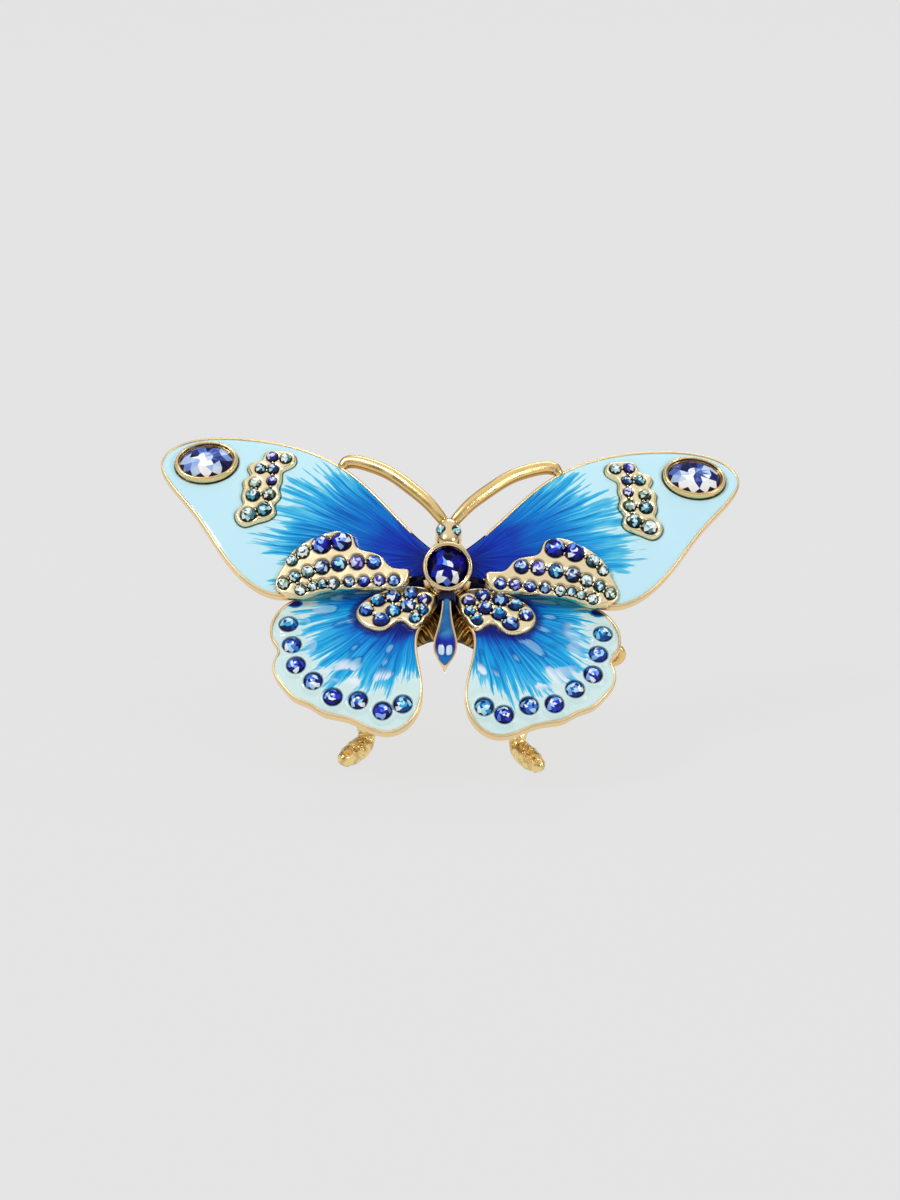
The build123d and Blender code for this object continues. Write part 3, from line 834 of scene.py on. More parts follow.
class OrnamentColours(bpy.types.PropertyGroup):
    gold_light: colour_property("Gold", "Rubbed gold", (0.97, 0.86, 0.655))
    gold_shade: colour_property("Old gold", "Gold in the hollows", (0.47, 0.31, 0.12))
    navy: colour_property("Navy", "Enamel at the roots of the hind wings", (0.035, 0.045, 0.42))
    royal: colour_property("Royal blue", "Enamel past the fore wings' roots", (0.06, 0.26, 0.70))
    azure: colour_property("Azure", "Enamel in the middle of the strokes", (0.0314, 0.4314, 0.8))
    cyan: colour_property("Cyan", "Enamel towards the strokes' ends", (0.0549, 0.6588, 0.8941))
    pale: colour_property("Pale aqua", "Enamel of the wing tips", (0.775, 0.935, 0.975))
    mint: colour_property("Mint", "Border of the hind wings", (0.83, 0.93, 0.915))
    teal: colour_property("Teal", "Enamel of the abdomen", (0.08, 0.40, 0.64))
    stage: colour_property("Stage", "Floor and backdrop", (0.894, 0.894, 0.894))


# Stage

# The lamps: place, size and power.
LAMPS = {
    "key": ((-0.46, -0.34, 0.70), (0.17, 0.14), 2.5),
    "fill": ((0.60, -0.46, 0.46), (0.20, 0.18), 1.3),
    "back": ((0.12, 0.55, 0.62), (0.50, 0.16), 1.3),
}


class ORNAMENT_OT_stage(bpy.types.Operator):
    """Pale floor, soft studio light and the camera"""

    bl_idname = "ornament.stage"
    bl_label = "Stage"

    def execute(self, context):
        backdrop = context.scene.ornament_colours.stage
        self.add_world(context, backdrop)
        self.add_floor(backdrop)
        for name, (where, size, power) in LAMPS.items():
            light = bpy.data.lights.new(name, "AREA")
            light.shape = "RECTANGLE"
            light.size, light.size_y = size
            light.energy = power
            lamp = linked(name, light)
            lamp.location = where
            aim = Vector((0, 0, 0.022)) - lamp.location
            lamp.rotation_euler = aim.to_track_quat("-Z", "Y").to_euler()
        self.add_camera(context)
        context.scene.view_settings.view_transform = "Standard"
        return {"FINISHED"}

    def add_world(self, context, backdrop):
        """A room as pale as the floor below the eye's height, and darker just above it."""
        context.scene.world = bpy.data.worlds.new("studio")
        shader = Shader("studio", context.scene.world)
        height = shader.parts(shader.node("TexCoord").outputs["Generated"])[2]
        stops = [
            (0.0, backdrop), (0.28, backdrop), (0.42, (0.42, 0.42, 0.44)),
            (0.62, (0.60, 0.60, 0.62)), (0.86, (0.88, 0.88, 0.90)), (1.0, (0.92, 0.92, 0.93)),
        ]
        level = shader.ramp(shader.range(height, -0.2, 1.0, kind="LINEAR"), stops)
        background = shader.node("Background", {0: level, 1: 1.0})
        shader.node("OutputWorld", {0: background.outputs[0]})

    def add_floor(self, backdrop):
        """A round floor, which shows its own colour more than the light on it."""
        shader = Shader("floor")
        rays = shader.node("LightPath").outputs
        seen = shader.maths("MAXIMUM", rays["Is Camera Ray"], rays["Is Glossy Ray"])
        seen = shader.maths("MAXIMUM", seen, rays["Is Transmission Ray"])
        grain = shader.range(shader.noise(shader.place(), 40.0), 0.0, 1.0, 0.0, 0.02)
        tint = shader.mix(grain, linear(backdrop), (0.7, 0.7, 0.7, 1.0))
        lit = shader.node("BsdfDiffuse", {0: tint}).outputs[0]
        shown = shader.node("Emission", {0: tint, 1: 1.0}).outputs[0]
        both = shader.node("MixShader", {0: shader.times(seen, 0.94), 1: lit, 2: shown})
        shader.node("OutputMaterial", {0: both.outputs[0]})
        mesh = bpy.data.meshes.new("floor")
        turns = [math.tau * i / 48 for i in range(48)]
        ring = [(4 * math.cos(turn), 4 * math.sin(turn), -0.00002) for turn in turns]
        mesh.from_pydata(ring, [], [tuple(range(48))])
        mesh.materials.append(shader.owner)
        floor = linked("floor", mesh)

    def add_camera(self, context):
        """The photograph's view: from the front, above the floor, and a little rolled."""
        distance = 0.5
        pixel = 0.00013484
        azimuth, elevation, roll = (math.radians(a) for a in (-0.3, 19.6, 1.9))
        towards = Vector((math.sin(azimuth), -math.cos(azimuth), 0)) * math.cos(elevation)
        away = towards + Vector((0, 0, math.sin(elevation)))
        level = Vector((math.cos(azimuth), math.sin(azimuth), 0))
        rise = away.cross(level)
        right = level * math.cos(roll) + rise * math.sin(roll)
        up = rise * math.cos(roll) - level * math.sin(roll)
        on_body = (BODY_ORIGIN - UP_SLOPE * 2.3 + BODY_NORMAL * 4.0) * MM
        centre = on_body + right * 2.3 * pixel - up * 34 * pixel
        data = bpy.data.cameras.new("camera")
        data.sensor_width = 36
        data.lens = 36 * distance / (1200 * pixel)
        data.clip_start = 0.01
        camera = linked("camera", data)
        turn = Matrix((right, up, away)).transposed().to_4x4()
        camera.matrix_world = Matrix.Translation(centre + away * distance) @ turn
        context.scene.camera = camera


# Castings

# How far the body hides a wing's edge, outwards and up or down, and the step along the edge.
ROOT_REACH = 4.6
ROOT_HEIGHT = 7.5
EDGE_STEP = 0.25


def finish_nodes(material, *nodes):
    """CAD nodes' own material."""
    for node in nodes:
        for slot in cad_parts[node].material_slots:
            slot.material = material


def at_root(point):
    """Whether a place on a wing's edge is hidden by the body."""
    return point.x < ROOT_REACH and abs(point.y) < ROOT_HEIGHT


class ORNAMENT_OT_castings(bpy.types.Operator):
    """Old gold on the body, wings and legs, and the rounded edges of the wings"""

    bl_idname = "ornament.castings"
    bl_label = "Castings"

    def execute(self, context):
        sizes = context.scene.ornament_sizes
        colours = context.scene.ornament_colours
        light, shade = colours.gold_light, colours.gold_shade
        cast = gold("cast_gold", light, shade)
        # Gold whose hidden root near the body is painted dark as shade.
        root_shaded = gold("root_shaded_gold", light, shade, painted_root_shade=True)
        feet = gold(
            "hammered_gold", (0.97, 0.84, 0.57), (0.52, 0.36, 0.15), hammered=0.4, depth=0.4,
            painted_root_shade=True,
        )
        for side in SIDES:
            finish_nodes(cast, "hindwing_" + side)
            finish_nodes(root_shaded, "forewing_" + side, "middle_leg_" + side)
            finish_nodes(feet, "rear_leg_" + side)
        finish_nodes(cast, "thorax", "head", "abdomen")
        finish_nodes(shaded_brushed_plate(), "bridge_plate")
        rim = gold("rim_gold", light, shade, roughness=0.34, grain=0.0)
        for wing, bow in (("forewing", FORE_BOW), ("hindwing", HIND_BOW)):
            loop = surface_loops(wing + "_right", bow, 0.0)[0]
            both_sides(wing + "_rim", *self.rim_mesh(loop, bow, sizes), "gold_casting", rim)
        return {"FINISHED"}

    def rim_mesh(self, loop, bow, sizes):
        """A bead along a wing's outline, thicker along its foot than along its front."""
        points = evenly(loop, EDGE_STEP)
        if loop_area(points) < 0:
            points.reverse()
        pairs = enumerate(zip(points, points[1:]), 1)
        starts = [i for i, (before, point) in pairs if at_root(before) and not at_root(point)]
        if starts:
            points = points[starts[0]:] + points[:starts[0]]
            points = [point for point in points if not at_root(point)]
        count = len(points)
        inward, radii = [], []
        for i in range(count):
            heading = (points[(i + 2) % count] - points[i - 2]).normalized()
            inward.append(Vector((-heading.y, heading.x)))
            share = step_between(-0.6, 0.5, inward[-1].y)
            radii.append((sizes.rim_thin + (sizes.rim_thick - sizes.rim_thin) * share) / MM)
        radii = [sum(radii[(i + k) % count] for k in range(-8, 9)) / 17 for i in range(count)]

        def row(i):
            corners = []
            for turn in [math.tau * k / 10 for k in range(10)]:
                inset = radii[i] * 1.02 + 0.05 - radii[i] * math.cos(turn)
                place = points[i] + inward[i] * inset
                corner = wing_place(bow, place.x, place.y, -0.04 + radii[i] * math.sin(turn))
                corner.x = min(corner.x, cad_box[1][0])
                corner.y = max(corner.y, cad_box[0][1])
                corners.append(corner)
            return corners

        return swept(count, row, closed=not starts)


# Antennae and legs

# The antenna on the right wing: outwards, up the slope, lift and radius.
ANTENNA = [
    (0.5, 5.7, -0.9, 0.72), (1.2, 6.6, -0.55, 0.8), (2.8, 8.45, -0.15, 0.88),
    (5.3, 10.7, 0.15, 0.92), (7.9, 12.8, 0.25, 0.92), (10.4, 14.15, 0.2, 0.92),
    (12.7, 15.0, 0.1, 0.9), (14.1, 15.05, -0.05, 0.86), (14.7, 14.5, -0.15, 0.68),
]

# The right front leg's places, in millimetres, and its radius.
FRONT_LEG = [
    (1.5, 2.3, 21.9, 1.0), (7.5, 1.7, 16.5, 1.15), (11.9, 0.9, 11.3, 1.25), (11.3, -1.2, 6.4, 1.12),
    (10.4, -2.4, 3.3, 1.15), (10.6, -3.0, 2.1, 1.36), (11.2, -3.9, 1.6, 1.5),
    (12.0, -4.9, 1.36, 1.52), (12.6, -5.8, 1.2, 1.4), (13.0, -6.4, 1.05, 1.15),
]

# The curled tip of the right middle leg: its places, in millimetres, and its radius.
CURL = [
    (21.6, 6.0, 11.6, 0.6), (23.0, 5.5, 11.7, 0.62), (24.1, 5.1, 12.3, 0.6),
    (24.5, 4.9, 13.3, 0.55), (24.0, 4.9, 14.1, 0.48), (23.2, 5.0, 14.0, 0.42),
]

# The corners round the antenna: how many, and the first and last of its lower side in painted
# shade.
ANTENNA_CORNERS = 36
LOWER_SIDE = (6, 24)


class ORNAMENT_OT_limbs(bpy.types.Operator):
    """The creased antennae and the front legs with their hammered feet"""

    bl_idname = "ornament.limbs"
    bl_label = "Antennae and legs"

    def execute(self, context):
        shade = context.scene.ornament_colours.gold_shade
        polished = gold("antenna_gold", (0.96, 0.83, 0.56), shade, roughness=0.26, grain=0.4)
        self.antennae(polished)
        self.front_legs()
        vertices, faces = tube(CURL, Vector((0, -1, 0)), 14)
        new_piece("middle_curl_right", vertices, faces, "gold_casting", polished)
        return {"FINISHED"}

    def antennae(self, polished):
        """The rods, with a crease between their upper side and their lower side in painted shade.
        """
        # The lower side: gold painted darker as shade, with a rougher grain.
        shaded_underside = gold(
            "antenna_shaded_underside", (0.78, 0.60, 0.31), (0.36, 0.23, 0.09), roughness=0.3, grain=1.6
        )

        def creased(turn):
            turn -= 1.1
            return 1.0 + 0.12 * math.exp(-((turn / 0.4) ** 2)) - 0.06 * math.cos(2 * turn)

        table = [(*wing_place(FORE_BOW, x, y, z) / MM, radius) for x, y, z, radius in ANTENNA]
        rod = tube(table, WING_NORMAL, ANTENNA_CORNERS, creased)
        for piece in both_sides("antenna_rod", *rod, "gold_casting", polished, "antenna"):
            piece.data.materials.append(shaded_underside)
            for polygon in piece.data.polygons:
                places = [i % ANTENNA_CORNERS for i in polygon.vertices]
                lower = LOWER_SIDE[0] <= min(places) and max(places) <= LOWER_SIDE[1]
                polygon.material_index = int(lower)

    def front_legs(self):
        """The legs, dented towards the foot and flat where they stand."""
        feet = gold(
            "boot_gold", (1.0, 0.89, 0.62), (0.60, 0.40, 0.15), hammered=0.75, depth=0.25
        )
        vertices, faces = tube(FRONT_LEG, Vector((0.2, -0.4, 0.9)), 20)
        for vertex in vertices:
            dent = noise.noise(vertex * 1300.0) * 0.1 + noise.noise(vertex * 420.0) * 0.1
            share = 1 - step_between(4.5, 7.0, vertex.z / MM)
            vertex += Vector((dent, dent, 0.6 * dent)) * share * MM
            vertex.z = max(vertex.z, 0.0)
        both_sides("front_boot", vertices, faces, "gold_casting", feet, "front_leg")


# Enamel

# How far the strokes reach on the fore wing, by their direction from its root.
FORE_ENDS = [
    (-0.5, 20.0), (0.02, 20.5), (0.10, 23.5), (0.18, 24.0), (0.30, 21.8), (0.42, 21.6),
    (0.52, 22.2), (0.60, 21.8), (0.70, 20.8), (0.85, 18.5), (0.94, 16.4), (1.0, 13.4),
    (1.06, 8.6), (1.2, 6.5),
]

# The width of the hind wing's border towards the body and its foot, by the same direction.
HIND_BORDER = [(-1.9, 0.6), (-1.75, 2.6), (-1.6, 5.6), (-1.42, 6.6), (-1.28, 4.9)]

# Where the strokes start, the dark corner of the hind wing, and a place far from any wing.
FORE_ROOT = (2.3, -0.5)
HIND_ROOT = (3.6, -5.0)
HIND_CORNER = (20.6, -5.9)
NO_CORNER = (99.0, 0.0)

# How far the enamel laps over its recess, dips at its edge and dips round a margin stone, and a
# shift that gives the left wings strokes of their own.
ENAMEL_LAP = 0.14
EDGE_DIP = 0.12
GROOVE = 0.12
LEFT_SWING = 7.3


def along_edges(loops):
    """A search tree over close points of some loops."""
    return tree_of([point for loop in loops for point in evenly(loop, 0.12)])


class ORNAMENT_OT_enamels(bpy.types.Operator):
    """The glossy painted enamel of the four wings and the body"""

    bl_idname = "ornament.enamels"
    bl_label = "Enamel"

    def execute(self, context):
        sizes = context.scene.ornament_sizes
        colours = context.scene.ornament_colours
        self.fore_enamel(sizes, fore_enamel_material(colours))
        self.hind_enamel(sizes, hind_enamel_material(colours))
        finish_nodes(body_enamel_material(colours), "abdomen_enamel")
        shader = Shader("collar_enamel")
        cloud = shader.noise(shader.place(), 500.0)
        tint = shader.ramp(cloud, [(0.3, (4, 6, 40)), (0.7, (20, 40, 110))])
        finish_nodes(gloss_enamel(shader, tint), "collar")
        return {"FINISHED"}

    def enamel_pair(self, wing, bow, spacing, material, root, corner, surface, stroke_end):
        """An enamel on both sides, with its maps of strokes and edges. The strokes are dark round
        the corner. Gives back the pieces and the places of their upper points."""
        node = wing + "wing_enamel"
        loops = surface_loops(node + "_right", bow, ENAMEL_RISE)
        loops[0] = [tuple(p) for p in moved_outline(evenly(loops[0], EDGE_STEP), ENAMEL_LAP)]
        places, faces, rings = filled_outline(loops, spacing, spacing * 0.45)
        edges, holes = along_edges(loops), along_edges(loops[1:] or loops)
        rays = ray_table(loops[0], root)
        tops, strokes, rims = [], [], []
        for across, along in places:
            lift = surface(across, along, distance_in(edges, across, along))
            tops.append(wing_place(bow, across, along, lift))
            out, up = across - root[0], along - root[1]
            reach, angle = math.hypot(out, up), math.atan2(up, out)
            # How far a place lies towards the foot, where the hind wing's white patches carry
            # painted highlights.
            foot = step_between(-0.55, -0.85, up / (reach + 0.01))
            rims.append((distance_in(holes, across, along), foot))
            off_corner = math.hypot((across - corner[0]) / 1.5, along - corner[1])
            dark = 0.7 * (1 - step_between(0.45, 0.85, off_corner))
            strokes.append((reach / stroke_end(angle, blended(rays, angle)) * (1 - dark), angle))
        slab = closed_slab(bow, places, faces, rings, tops)
        pieces = both_sides(wing + "_enamel", *slab, node, material, node)
        for piece, shift in zip(pieces, (0.0, LEFT_SWING)):
            moved = [(reach, angle + shift) for reach, angle in strokes]
            add_map(piece, "stroke", moved, (0.0, shift))
            add_map(piece, "edge", rims, (1.0, 0.0))
        return pieces, places

    def fore_enamel(self, sizes, material):
        def surface(across, along, edge):
            return ENAMEL_RISE - EDGE_DIP * (1 - step_between(0.0, 0.7, edge))

        def stroke_end(angle, ray):
            return blended(FORE_ENDS, angle)

        self.enamel_pair(
            "fore", FORE_BOW, sizes.enamel_grid / MM, material, FORE_ROOT, NO_CORNER, surface,
            stroke_end,
        )

    def hind_enamel(self, sizes, material):
        stones = [wing_plan(HIND_BOW, s.centre * MM)[:2] for s in stones_of("margin_stones_right")]
        border, rise = sizes.hind_border / MM, sizes.boss_rise / MM
        widths = HIND_BORDER + [(-1.15, border), (-0.3, border), (-0.12, 0.6 * border), (0.0, 0.0)]

        def surface(across, along, edge):
            near = min(math.hypot(across - x, along - y) for x, y in stones)
            boss = rise * (1 - step_between(1.25, 2.1, near))
            groove = GROOVE * step_between(1.5, 2.1, near) * (1 - step_between(2.1, 2.9, near))
            return ENAMEL_RISE + boss - groove - EDGE_DIP * (1 - step_between(0.0, 0.5, edge))

        def stroke_end(angle, ray):
            return max(ray - blended(widths, angle), 2.0)

        pieces, places = self.enamel_pair(
            "hind", HIND_BOW, sizes.enamel_grid / MM, material, HIND_ROOT, HIND_CORNER, surface,
            stroke_end,
        )
        bed = along_edges(surface_loops("root_bed_right", HIND_BOW, BED_RISE)[:1])
        to_bed = [(distance_in(bed, *place), 0.0) for place in places]
        for piece in pieces:
            add_map(piece, "bed", to_bed, (9.0, 0.0))


# Stones

# The shades of crystal, from a facet in shadow to one that flashes.
GLASS = {
    "deep": ((4, 4, 50), (20, 20, 150), (34, 66, 220), (110, 170, 250), (246, 250, 255)),
    "blue": ((6, 12, 60), (22, 54, 166), (70, 140, 232), (164, 216, 252), (252, 254, 255)),
    "violet": ((20, 14, 70), (60, 54, 166), (128, 130, 224), (192, 196, 246), (250, 250, 255)),
    "cyan": ((6, 24, 76), (14, 90, 176), (50, 180, 230), (156, 230, 246), (250, 255, 255)),
    "slate": ((10, 14, 48), (36, 60, 120), (118, 160, 206), (190, 216, 234), (252, 254, 255)),
    "teal": ((4, 26, 42), (20, 84, 108), (98, 190, 206), (190, 236, 238), (250, 255, 255)),
    "green": ((14, 26, 20), (66, 98, 78), (164, 202, 180), (226, 244, 230), (254, 255, 252)),
    "clear": ((12, 34, 42), (92, 146, 148), (218, 246, 240), (246, 255, 252), (255, 255, 255)),
    "ice": ((12, 16, 58), (36, 54, 132), (96, 128, 208), (184, 210, 246), (255, 255, 255)),
}

# The stones of each group, row by row from the top, and outwards in each row.
GROUPS = {
    "margin_stones": ("blue_crystal", "cyan blue deep blue deep blue cyan deep"),
    "root_stones": ("blue_crystal", "blue blue violet cyan blue cyan cyan blue cyan blue"),
    "patch_stones_upper": ("deep_blue_crystal", "deep deep clear clear"),
    "patch_stones_middle": ("blue_crystal", "blue violet cyan slate clear teal"),
    "patch_stones_lower": (
        "light_blue_crystal", "blue violet deep slate clear teal clear clear green"
    ),
    "band_stones": (
        "light_blue_crystal", "clear violet slate teal violet green green teal teal clear"
    ),
    "tip_stone": ("light_blue_crystal", "ice"),
    "eye_stones": ("aqua_crystal", "teal teal"),
    "centre_stone": ("deep_blue_crystal", "deep"),
}

# Where light is painted on the large stones' facets: place to the right and up, in shares of the
# radii, and brightness.
LIT = {
    "centre_stone": [
        (0.05, 0.08, 1.0), (-0.16, 0.16, 0.62), (0.25, 0.2, 0.3), (-0.36, 0.2, 0.42),
        (-0.25, -0.1, 0.2), (0.3, -0.12, 0.2), (-0.36, -0.52, 0.95), (0.4, -0.52, 0.98),
        (0.02, -0.5, 0.2), (0.0, -0.78, 0.6), (-0.62, 0.1, 0.08), (0.62, 0.1, 0.3),
        (0.0, 0.55, 0.12), (-0.45, 0.6, 0.34), (0.45, 0.6, 0.16), (-0.75, -0.3, 0.3),
        (0.78, -0.3, 0.1),
    ],
    "tip_stone_left": [
        (-0.14, 0.0, 1.0), (-0.02, -0.5, 0.98), (-0.42, -0.4, 0.6), (0.3, 0.3, 0.42),
        (0.5, -0.1, 0.3), (-0.5, 0.3, 0.2), (-0.72, -0.05, 0.72), (0.1, 0.6, 0.15),
        (0.68, 0.35, 0.55), (0.4, -0.55, 0.66), (0.16, 0.05, 0.62), (-0.2, 0.4, 0.5),
        (0.75, -0.3, 0.12),
    ],
    "tip_stone_right": [
        (0.42, -0.42, 1.0), (-0.35, 0.25, 0.1), (-0.1, 0.5, 0.2), (0.15, 0.1, 0.5),
        (-0.55, -0.2, 0.62), (-0.2, -0.45, 0.92), (0.5, 0.3, 0.66), (0.1, -0.3, 0.36),
        (-0.7, 0.25, 0.4), (0.72, 0.0, 0.2), (-0.1, 0.02, 0.84), (0.3, 0.6, 0.3),
    ],
}

# How bright the painted light on a small stone's facets may be, in its middle, round it and at
# its edge, and into how many sectors each of the three is cut.
FLASHES = (
    (0.4, 0.75, 1.0, 0.55), (0.05, 0.2, 0.45, 0.7, 1.0, 0.3, 0.85),
    (0.0, 0.1, 0.2, 0.35, 0.6, 0.15, 1.0, 0.45, 0.75),
)
SECTORS = (3, 5, 8)

# A stone with a larger radius has more facets, and its light is painted as LIT says.
LARGE = 2.0


def brilliant(stone):
    """The faces of a round or oval stone: table, stars, kites and girdle facets."""
    girdle, top = 0.4, stone.height
    count = 12 if stone.radius > LARGE else 8

    rings = [
        (count, 0.0, 0.58, top),  # the table's edge
        (count, 0.5, 0.28, top),  # the core of the table
        (count, 0.5, 0.82, girdle + (top - girdle) * 0.52),  # the middle of the crown
        (2 * count, 0.0, 1.0, girdle),  # the rim
        (2 * count, 0.0, 1.0, 0.0),  # the foot
        (1, 0.0, 0.0, top),  # the middle of the table
    ]
    vertices = []
    for number, start, share, height in rings:
        for i in range(number):
            turn = (i + start) * math.tau / number
            place = stone.place(turn, share * stone.radius, share * stone.short, height)
            vertices.append(place * MM)
    table, core, middle, rim, foot = 0, count, 2 * count, 3 * count, 5 * count
    faces = []
    for i in range(count):
        j = (i + 1) % count
        a, b, c = rim + 2 * i, rim + 2 * i + 1, rim + 2 * j
        faces += [
            (table + i, table + j, core + i),
            (core + i, table + j, core + j),
            (table + i, middle + i, table + j),
            (table + j, middle + i, c, middle + j),
            (middle + i, a, b),
            (middle + i, b, c),
            (core + i, core + j, len(vertices) - 1),
        ]
    for i in range(2 * count):
        j = (i + 1) % (2 * count)
        faces.append((rim + i, foot + i, foot + j, rim + j))
    faces.append(tuple(reversed(range(foot, foot + 2 * count))))
    return vertices, faces


class ORNAMENT_OT_stones(bpy.types.Operator):
    """The faceted stones of every group"""

    bl_idname = "ornament.stones"
    bl_label = "Stones"

    def execute(self, context):
        glasses = {name: crystal(name + "_glass", shades) for name, shades in GLASS.items()}
        for node, (slot, names) in GROUPS.items():
            single = node in ("eye_stones", "centre_stone")
            for side in ("",) if single else ("_right", "_left"):
                self.add_stones(node + side, slot, names.split(), glasses)
        return {"FINISHED"}

    def add_stones(self, node, slot, names, glasses):
        """One mesh for a node's stones, sorted as their shades are listed."""
        chance = random.Random(node)
        vertices, faces, flashes, shades = [], [], [], []
        for stone, name in zip(self.in_order(node), names):
            if node == "eye_stones":
                stone.radius *= 1.2
                stone.short *= 1.2
            corners, facets = brilliant(stone)
            flashes += self.flashes_of(stone, corners, facets, LIT.get(node, ()), chance)
            shades += [name] * len(facets)
            add_faces(vertices, faces, corners, facets)
        kinds = sorted(set(names))
        piece = new_piece(
            node.replace("stone", "jewel"), vertices, faces, slot, glasses[kinds[0]], [node],
            smooth=False,
        )
        for kind in kinds[1:]:
            piece.data.materials.append(glasses[kind])
        layer = piece.data.uv_layers.new(name="facet")
        for polygon, flash, shade in zip(piece.data.polygons, flashes, shades):
            polygon.material_index = kinds.index(shade)
            for loop in polygon.loop_indices:
                layer.data[loop].uv = (flash, 0.5)

    def flashes_of(self, stone, corners, facets, lights, chance):
        """How bright each facet is painted: by chance if small, by the lights of LIT if large."""
        right = (Vector((1, 0, 0)) - stone.axis * stone.axis.x).normalized()
        up = stone.axis.cross(right)
        sparks = [chance.sample(shares, len(shares)) for shares in FLASHES]
        tilt = chance.random()
        found = []
        for facet in facets:
            middle = sum((corners[i] for i in facet), Vector()) / len(facet)
            offset = middle / MM - stone.centre
            x, y = offset.dot(right) / stone.radius, offset.dot(up) / stone.short
            reach = math.hypot(x, y)
            flicker = chance.uniform(-0.1, 0.1)
            # The girdle's facets are painted dark, as painted shade round the stone.
            if reach > 0.9:
                flash = 0.02
            elif stone.radius < LARGE:
                ring = min(int(reach * 3.4), 2)
                sector = int((math.atan2(y, x) / math.tau + tilt) * SECTORS[ring])
                flash = sparks[ring][sector % len(sparks[ring])]
            else:
                nearest = min(lights, key=lambda light: math.hypot(x - light[0], y - light[1]))
                flash = 0.5 + (nearest[2] + flicker - 0.5) * 1.35
            found.append(min(max(flash, 0.0), 1.0))
        return found

    def in_order(self, node):
        """A node's stones in rows down the wing, and outwards in each row."""
        stones = stones_of(node)

        def outwards(stone):
            return abs(stone.centre.x)

        if node.startswith(("patch", "eye")):
            return sorted(stones, key=outwards)
        stones.sort(key=lambda stone: -stone.centre.z)
        if node.startswith("band"):
            rows = [sorted(stones[i : i + 2], key=outwards) for i in range(0, len(stones), 2)]
            return [stone for row in rows for stone in row]
        return stones


# Settings of the stones

# The relief of a stone bed: the width of its rounded edge, the rise of the edge itself and of the
# ridge round each stone, and the depth of a seat.
SHOULDER = 0.45
EDGE_RISE = 0.05
RIDGE = 0.11
SEAT = 0.2

# The bezels' profiles, offset from the stone and height, and their steps round it.
BEZEL_STEPS = 72
TIP_PROFILE = [
    (0.5, -0.3), (0.58, 0.3), (0.56, 0.66), (0.46, 0.92), (0.3, 1.04), (0.14, 0.98),
    (0.05, 0.8), (0.02, 0.6), (-0.03, 0.58), (-0.07, 0.64), (-0.1, 0.5), (-0.1, -0.3),
]
CENTRE_PROFILE = [
    (0.6, -0.5), (0.65, 0.9), (0.64, 1.2), (0.58, 1.4), (0.48, 1.5), (0.38, 1.46), (0.33, 1.36),
    (0.28, 1.36), (0.24, 1.42), (0.17, 1.44), (0.1, 1.36), (0.05, 1.2), (0.02, 0.9), (0.02, -0.5),
]


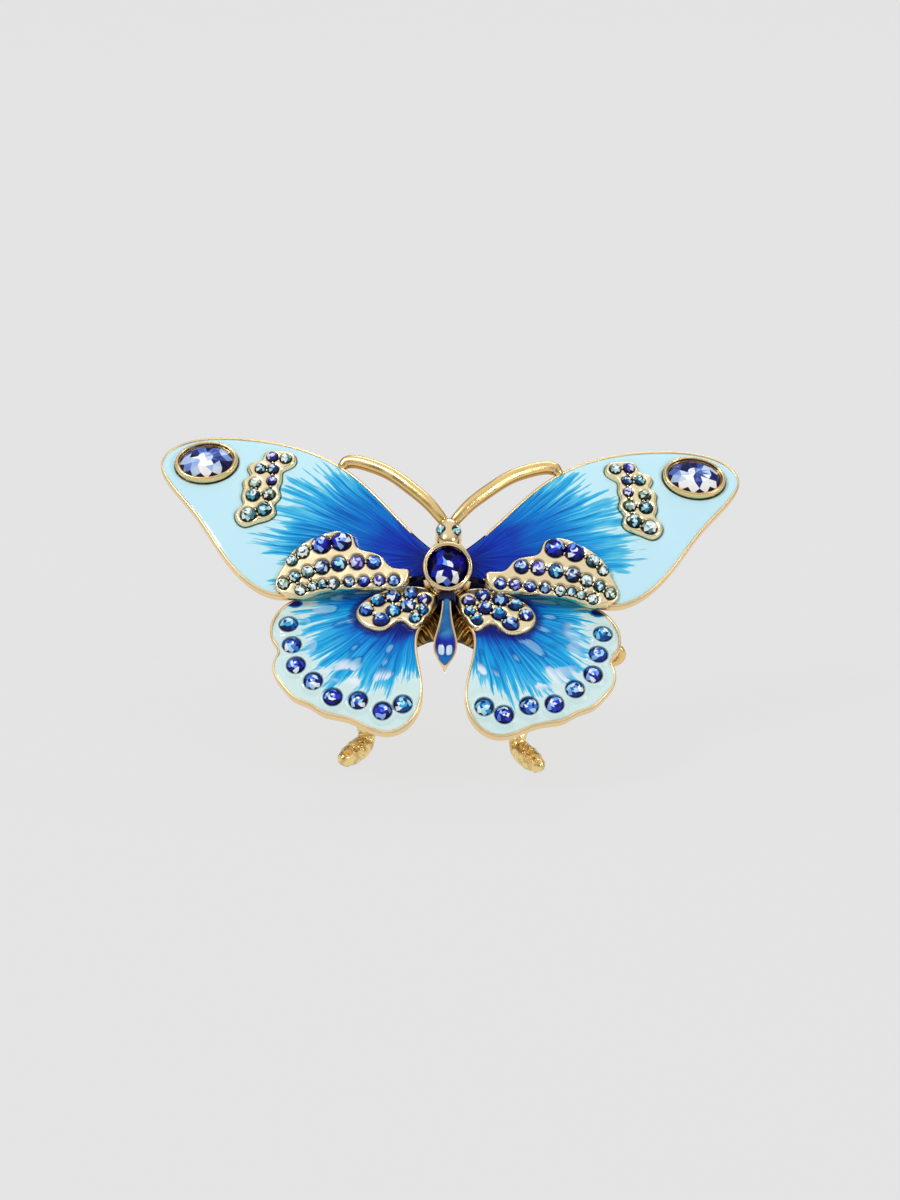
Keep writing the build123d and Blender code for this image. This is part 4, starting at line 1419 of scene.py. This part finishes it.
class ORNAMENT_OT_settings(bpy.types.Operator):
    """The gold beds of the small stones, and the bezels of the large ones"""

    bl_idname = "ornament.settings"
    bl_label = "Settings"

    def execute(self, context):
        sizes = context.scene.ornament_sizes
        shade = context.scene.ornament_colours.gold_shade
        brown = (0.60, 0.43, 0.20)
        bed = gold("bed_gold", (1.0, 0.925, 0.735), brown, roughness=0.25, depth=0.2, seat_shadows=True)
        grain = gold("grain_gold", (0.97, 0.87, 0.64), shade, roughness=0.16, depth=0.2)
        tip = gold("tip_gold", (0.97, 0.84, 0.60), brown, roughness=0.24, depth=0.3)
        centre = gold(
            "bezel_gold", (1.0, 0.90, 0.70), (0.70, 0.50, 0.27), roughness=0.24, grain=0.0,
            depth=0.2,
        )
        beds = {
            "band_bed": (FORE_BOW, ["band_stones"]),
            "patch_bed": (
                FORE_BOW, ["patch_stones_upper", "patch_stones_middle", "patch_stones_lower"]
            ),
            "root_bed": (HIND_BOW, ["root_stones"]),
        }
        for node, (bow, groups) in beds.items():
            stones = []
            for group in groups:
                for stone in stones_of(group + "_right"):
                    stones.append((*wing_plan(bow, stone.centre * MM)[:2], stone.radius))
            self.pave_bed(node, bow, stones, sizes, bed, grain)
        for end in ("_right", "_left"):
            self.bezel("tip_ring" + end, "tip_stone" + end, "tip_bezel" + end, TIP_PROFILE, tip)
        self.bezel("centre_ring", "centre_stone", "centre_cup", CENTRE_PROFILE, centre)
        return {"FINISHED"}

    def pave_bed(self, node, bow, stones, sizes, material, grain_material):
        """A bed whose gold rises round each stone, with grains between the stones."""
        outline = surface_loops(node + "_right", bow, BED_RISE)[0]
        outline = [tuple(p) for p in evenly(outline, 0.2)]
        spacing, radius = sizes.bed_grid / MM, sizes.bead_radius / MM
        places, faces, rings = filled_outline([outline], spacing, spacing * 0.5)
        edges = tree_of(evenly(outline, 0.08))

        def clearance(x, y):
            return min(math.hypot(x - a, y - b) - r for a, b, r in stones)

        def lift(x, y):
            edge = min(distance_in(edges, x, y) / SHOULDER, 1.0)
            shoulder = math.sqrt(max(0.0, 1 - (1 - edge) ** 2))
            ridge = RIDGE * step_between(0.08, 0.3, clearance(x, y))
            seat = SEAT * (1 - step_between(-0.15, 0.0, clearance(x, y)))
            return EDGE_RISE + (BED_RISE - 0.1 + ridge - seat) * shoulder

        def free(x, y):
            off_edge = inside(outline, x, y) and distance_in(edges, x, y) > radius
            off_grains = all(math.hypot(x - a, y - b) > 2.1 * radius for a, b in chosen)
            return off_edge and off_grains and clearance(x, y) > 0.5 * radius

        grains, grain_faces, chosen = [], [], []
        for x, y in self.grain_places(stones, radius):
            if free(x, y):
                chosen.append((x, y))
                centre = wing_place(bow, x, y, BED_RISE - 0.02)
                ball = small_ball(centre, wing_normal(bow, y), radius * MM)
                add_faces(grains, grain_faces, *ball)
        both_sides(node + "_grains", grains, grain_faces, "gold_setting", grain_material)
        grain_tree = tree_of(chosen)
        tops, seat_shadows = [], []
        for x, y in places:
            beside = distance_in(grain_tree, x, y) - radius
            dip = 0.1 * (1 - step_between(0.0, 0.25, beside))
            tops.append(wing_place(bow, x, y, lift(x, y) - dip))
            # The seat map: how close a stone or grain is, for the bed's painted shadow.
            seat_shadows.append((min(clearance(x, y), 0.8 * beside + 0.01), 0.0))
        slab = closed_slab(bow, places, faces, rings, tops)
        for piece in both_sides(node + "_gold", *slab, "gold_setting", material, node):
            add_map(piece, "seat", seat_shadows, (1.0, 0.0))

    def grain_places(self, stones, radius):
        """Places for grains on both sides of the gap between neighbouring stones."""
        for number, (x0, y0, r0) in enumerate(stones):
            for x1, y1, r1 in stones[number + 1 :]:
                apart = math.hypot(x1 - x0, y1 - y0)
                gap = apart - r0 - r1
                if gap < 0.7:
                    share = (r0 + gap / 2) / apart
                    x, y = x0 + (x1 - x0) * share, y0 + (y1 - y0) * share
                    touching, halfway = min(r0, r1) + 0.8 * radius, min(r0, r1) + gap / 2
                    aside = math.sqrt(max(touching ** 2 - halfway ** 2, 0.0))
                    across, along = (y0 - y1) / apart * aside, (x1 - x0) / apart * aside
                    yield x + across, y + along
                    yield x - across, y - along

    def bezel(self, name, stone_node, replaced, profile, material):
        """A bezel: its profile, swept round a stone."""
        stone = stones_of(stone_node)[0]

        def row(i):
            turn = math.tau * i / BEZEL_STEPS
            return [
                stone.place(turn, stone.radius + offset, stone.short + offset, height) * MM
                for offset, height in profile
            ]

        new_piece(name, *swept(BEZEL_STEPS, row), "gold_setting", material, [replaced])


# Panel and registration

OPERATORS = (
    ORNAMENT_OT_stage,
    ORNAMENT_OT_castings,
    ORNAMENT_OT_limbs,
    ORNAMENT_OT_settings,
    ORNAMENT_OT_enamels,
    ORNAMENT_OT_stones,
)


class ORNAMENT_PT_panel(bpy.types.Panel):
    """Sizes, colours and steps of the ornament"""

    bl_idname = "ORNAMENT_PT_panel"
    bl_label = "Butterfly ornament"
    bl_space_type = "VIEW_3D"
    bl_region_type = "UI"
    bl_category = "Butterfly"

    def draw(self, context):
        layout = self.layout
        for group in (context.scene.ornament_sizes, context.scene.ornament_colours):
            box = layout.box()
            for name in group.__annotations__:
                box.prop(group, name)
        for operator in OPERATORS:
            layout.operator(operator.bl_idname)


CLASSES = (OrnamentSizes, OrnamentColours, *OPERATORS, ORNAMENT_PT_panel)


def register():
    for cls in CLASSES:
        bpy.utils.register_class(cls)
    bpy.types.Scene.ornament_sizes = bpy.props.PointerProperty(type=OrnamentSizes)
    bpy.types.Scene.ornament_colours = bpy.props.PointerProperty(type=OrnamentColours)


def unregister():
    del bpy.types.Scene.ornament_colours
    del bpy.types.Scene.ornament_sizes
    for cls in reversed(CLASSES):
        bpy.utils.unregister_class(cls)


def main():
    register()
    bpy.ops.ornament.stage()
    bpy.ops.ornament.castings()
    bpy.ops.ornament.limbs()
    bpy.ops.ornament.settings()
    bpy.ops.ornament.enamels()
    bpy.ops.ornament.stones()


if __name__ == "__main__":
    main()
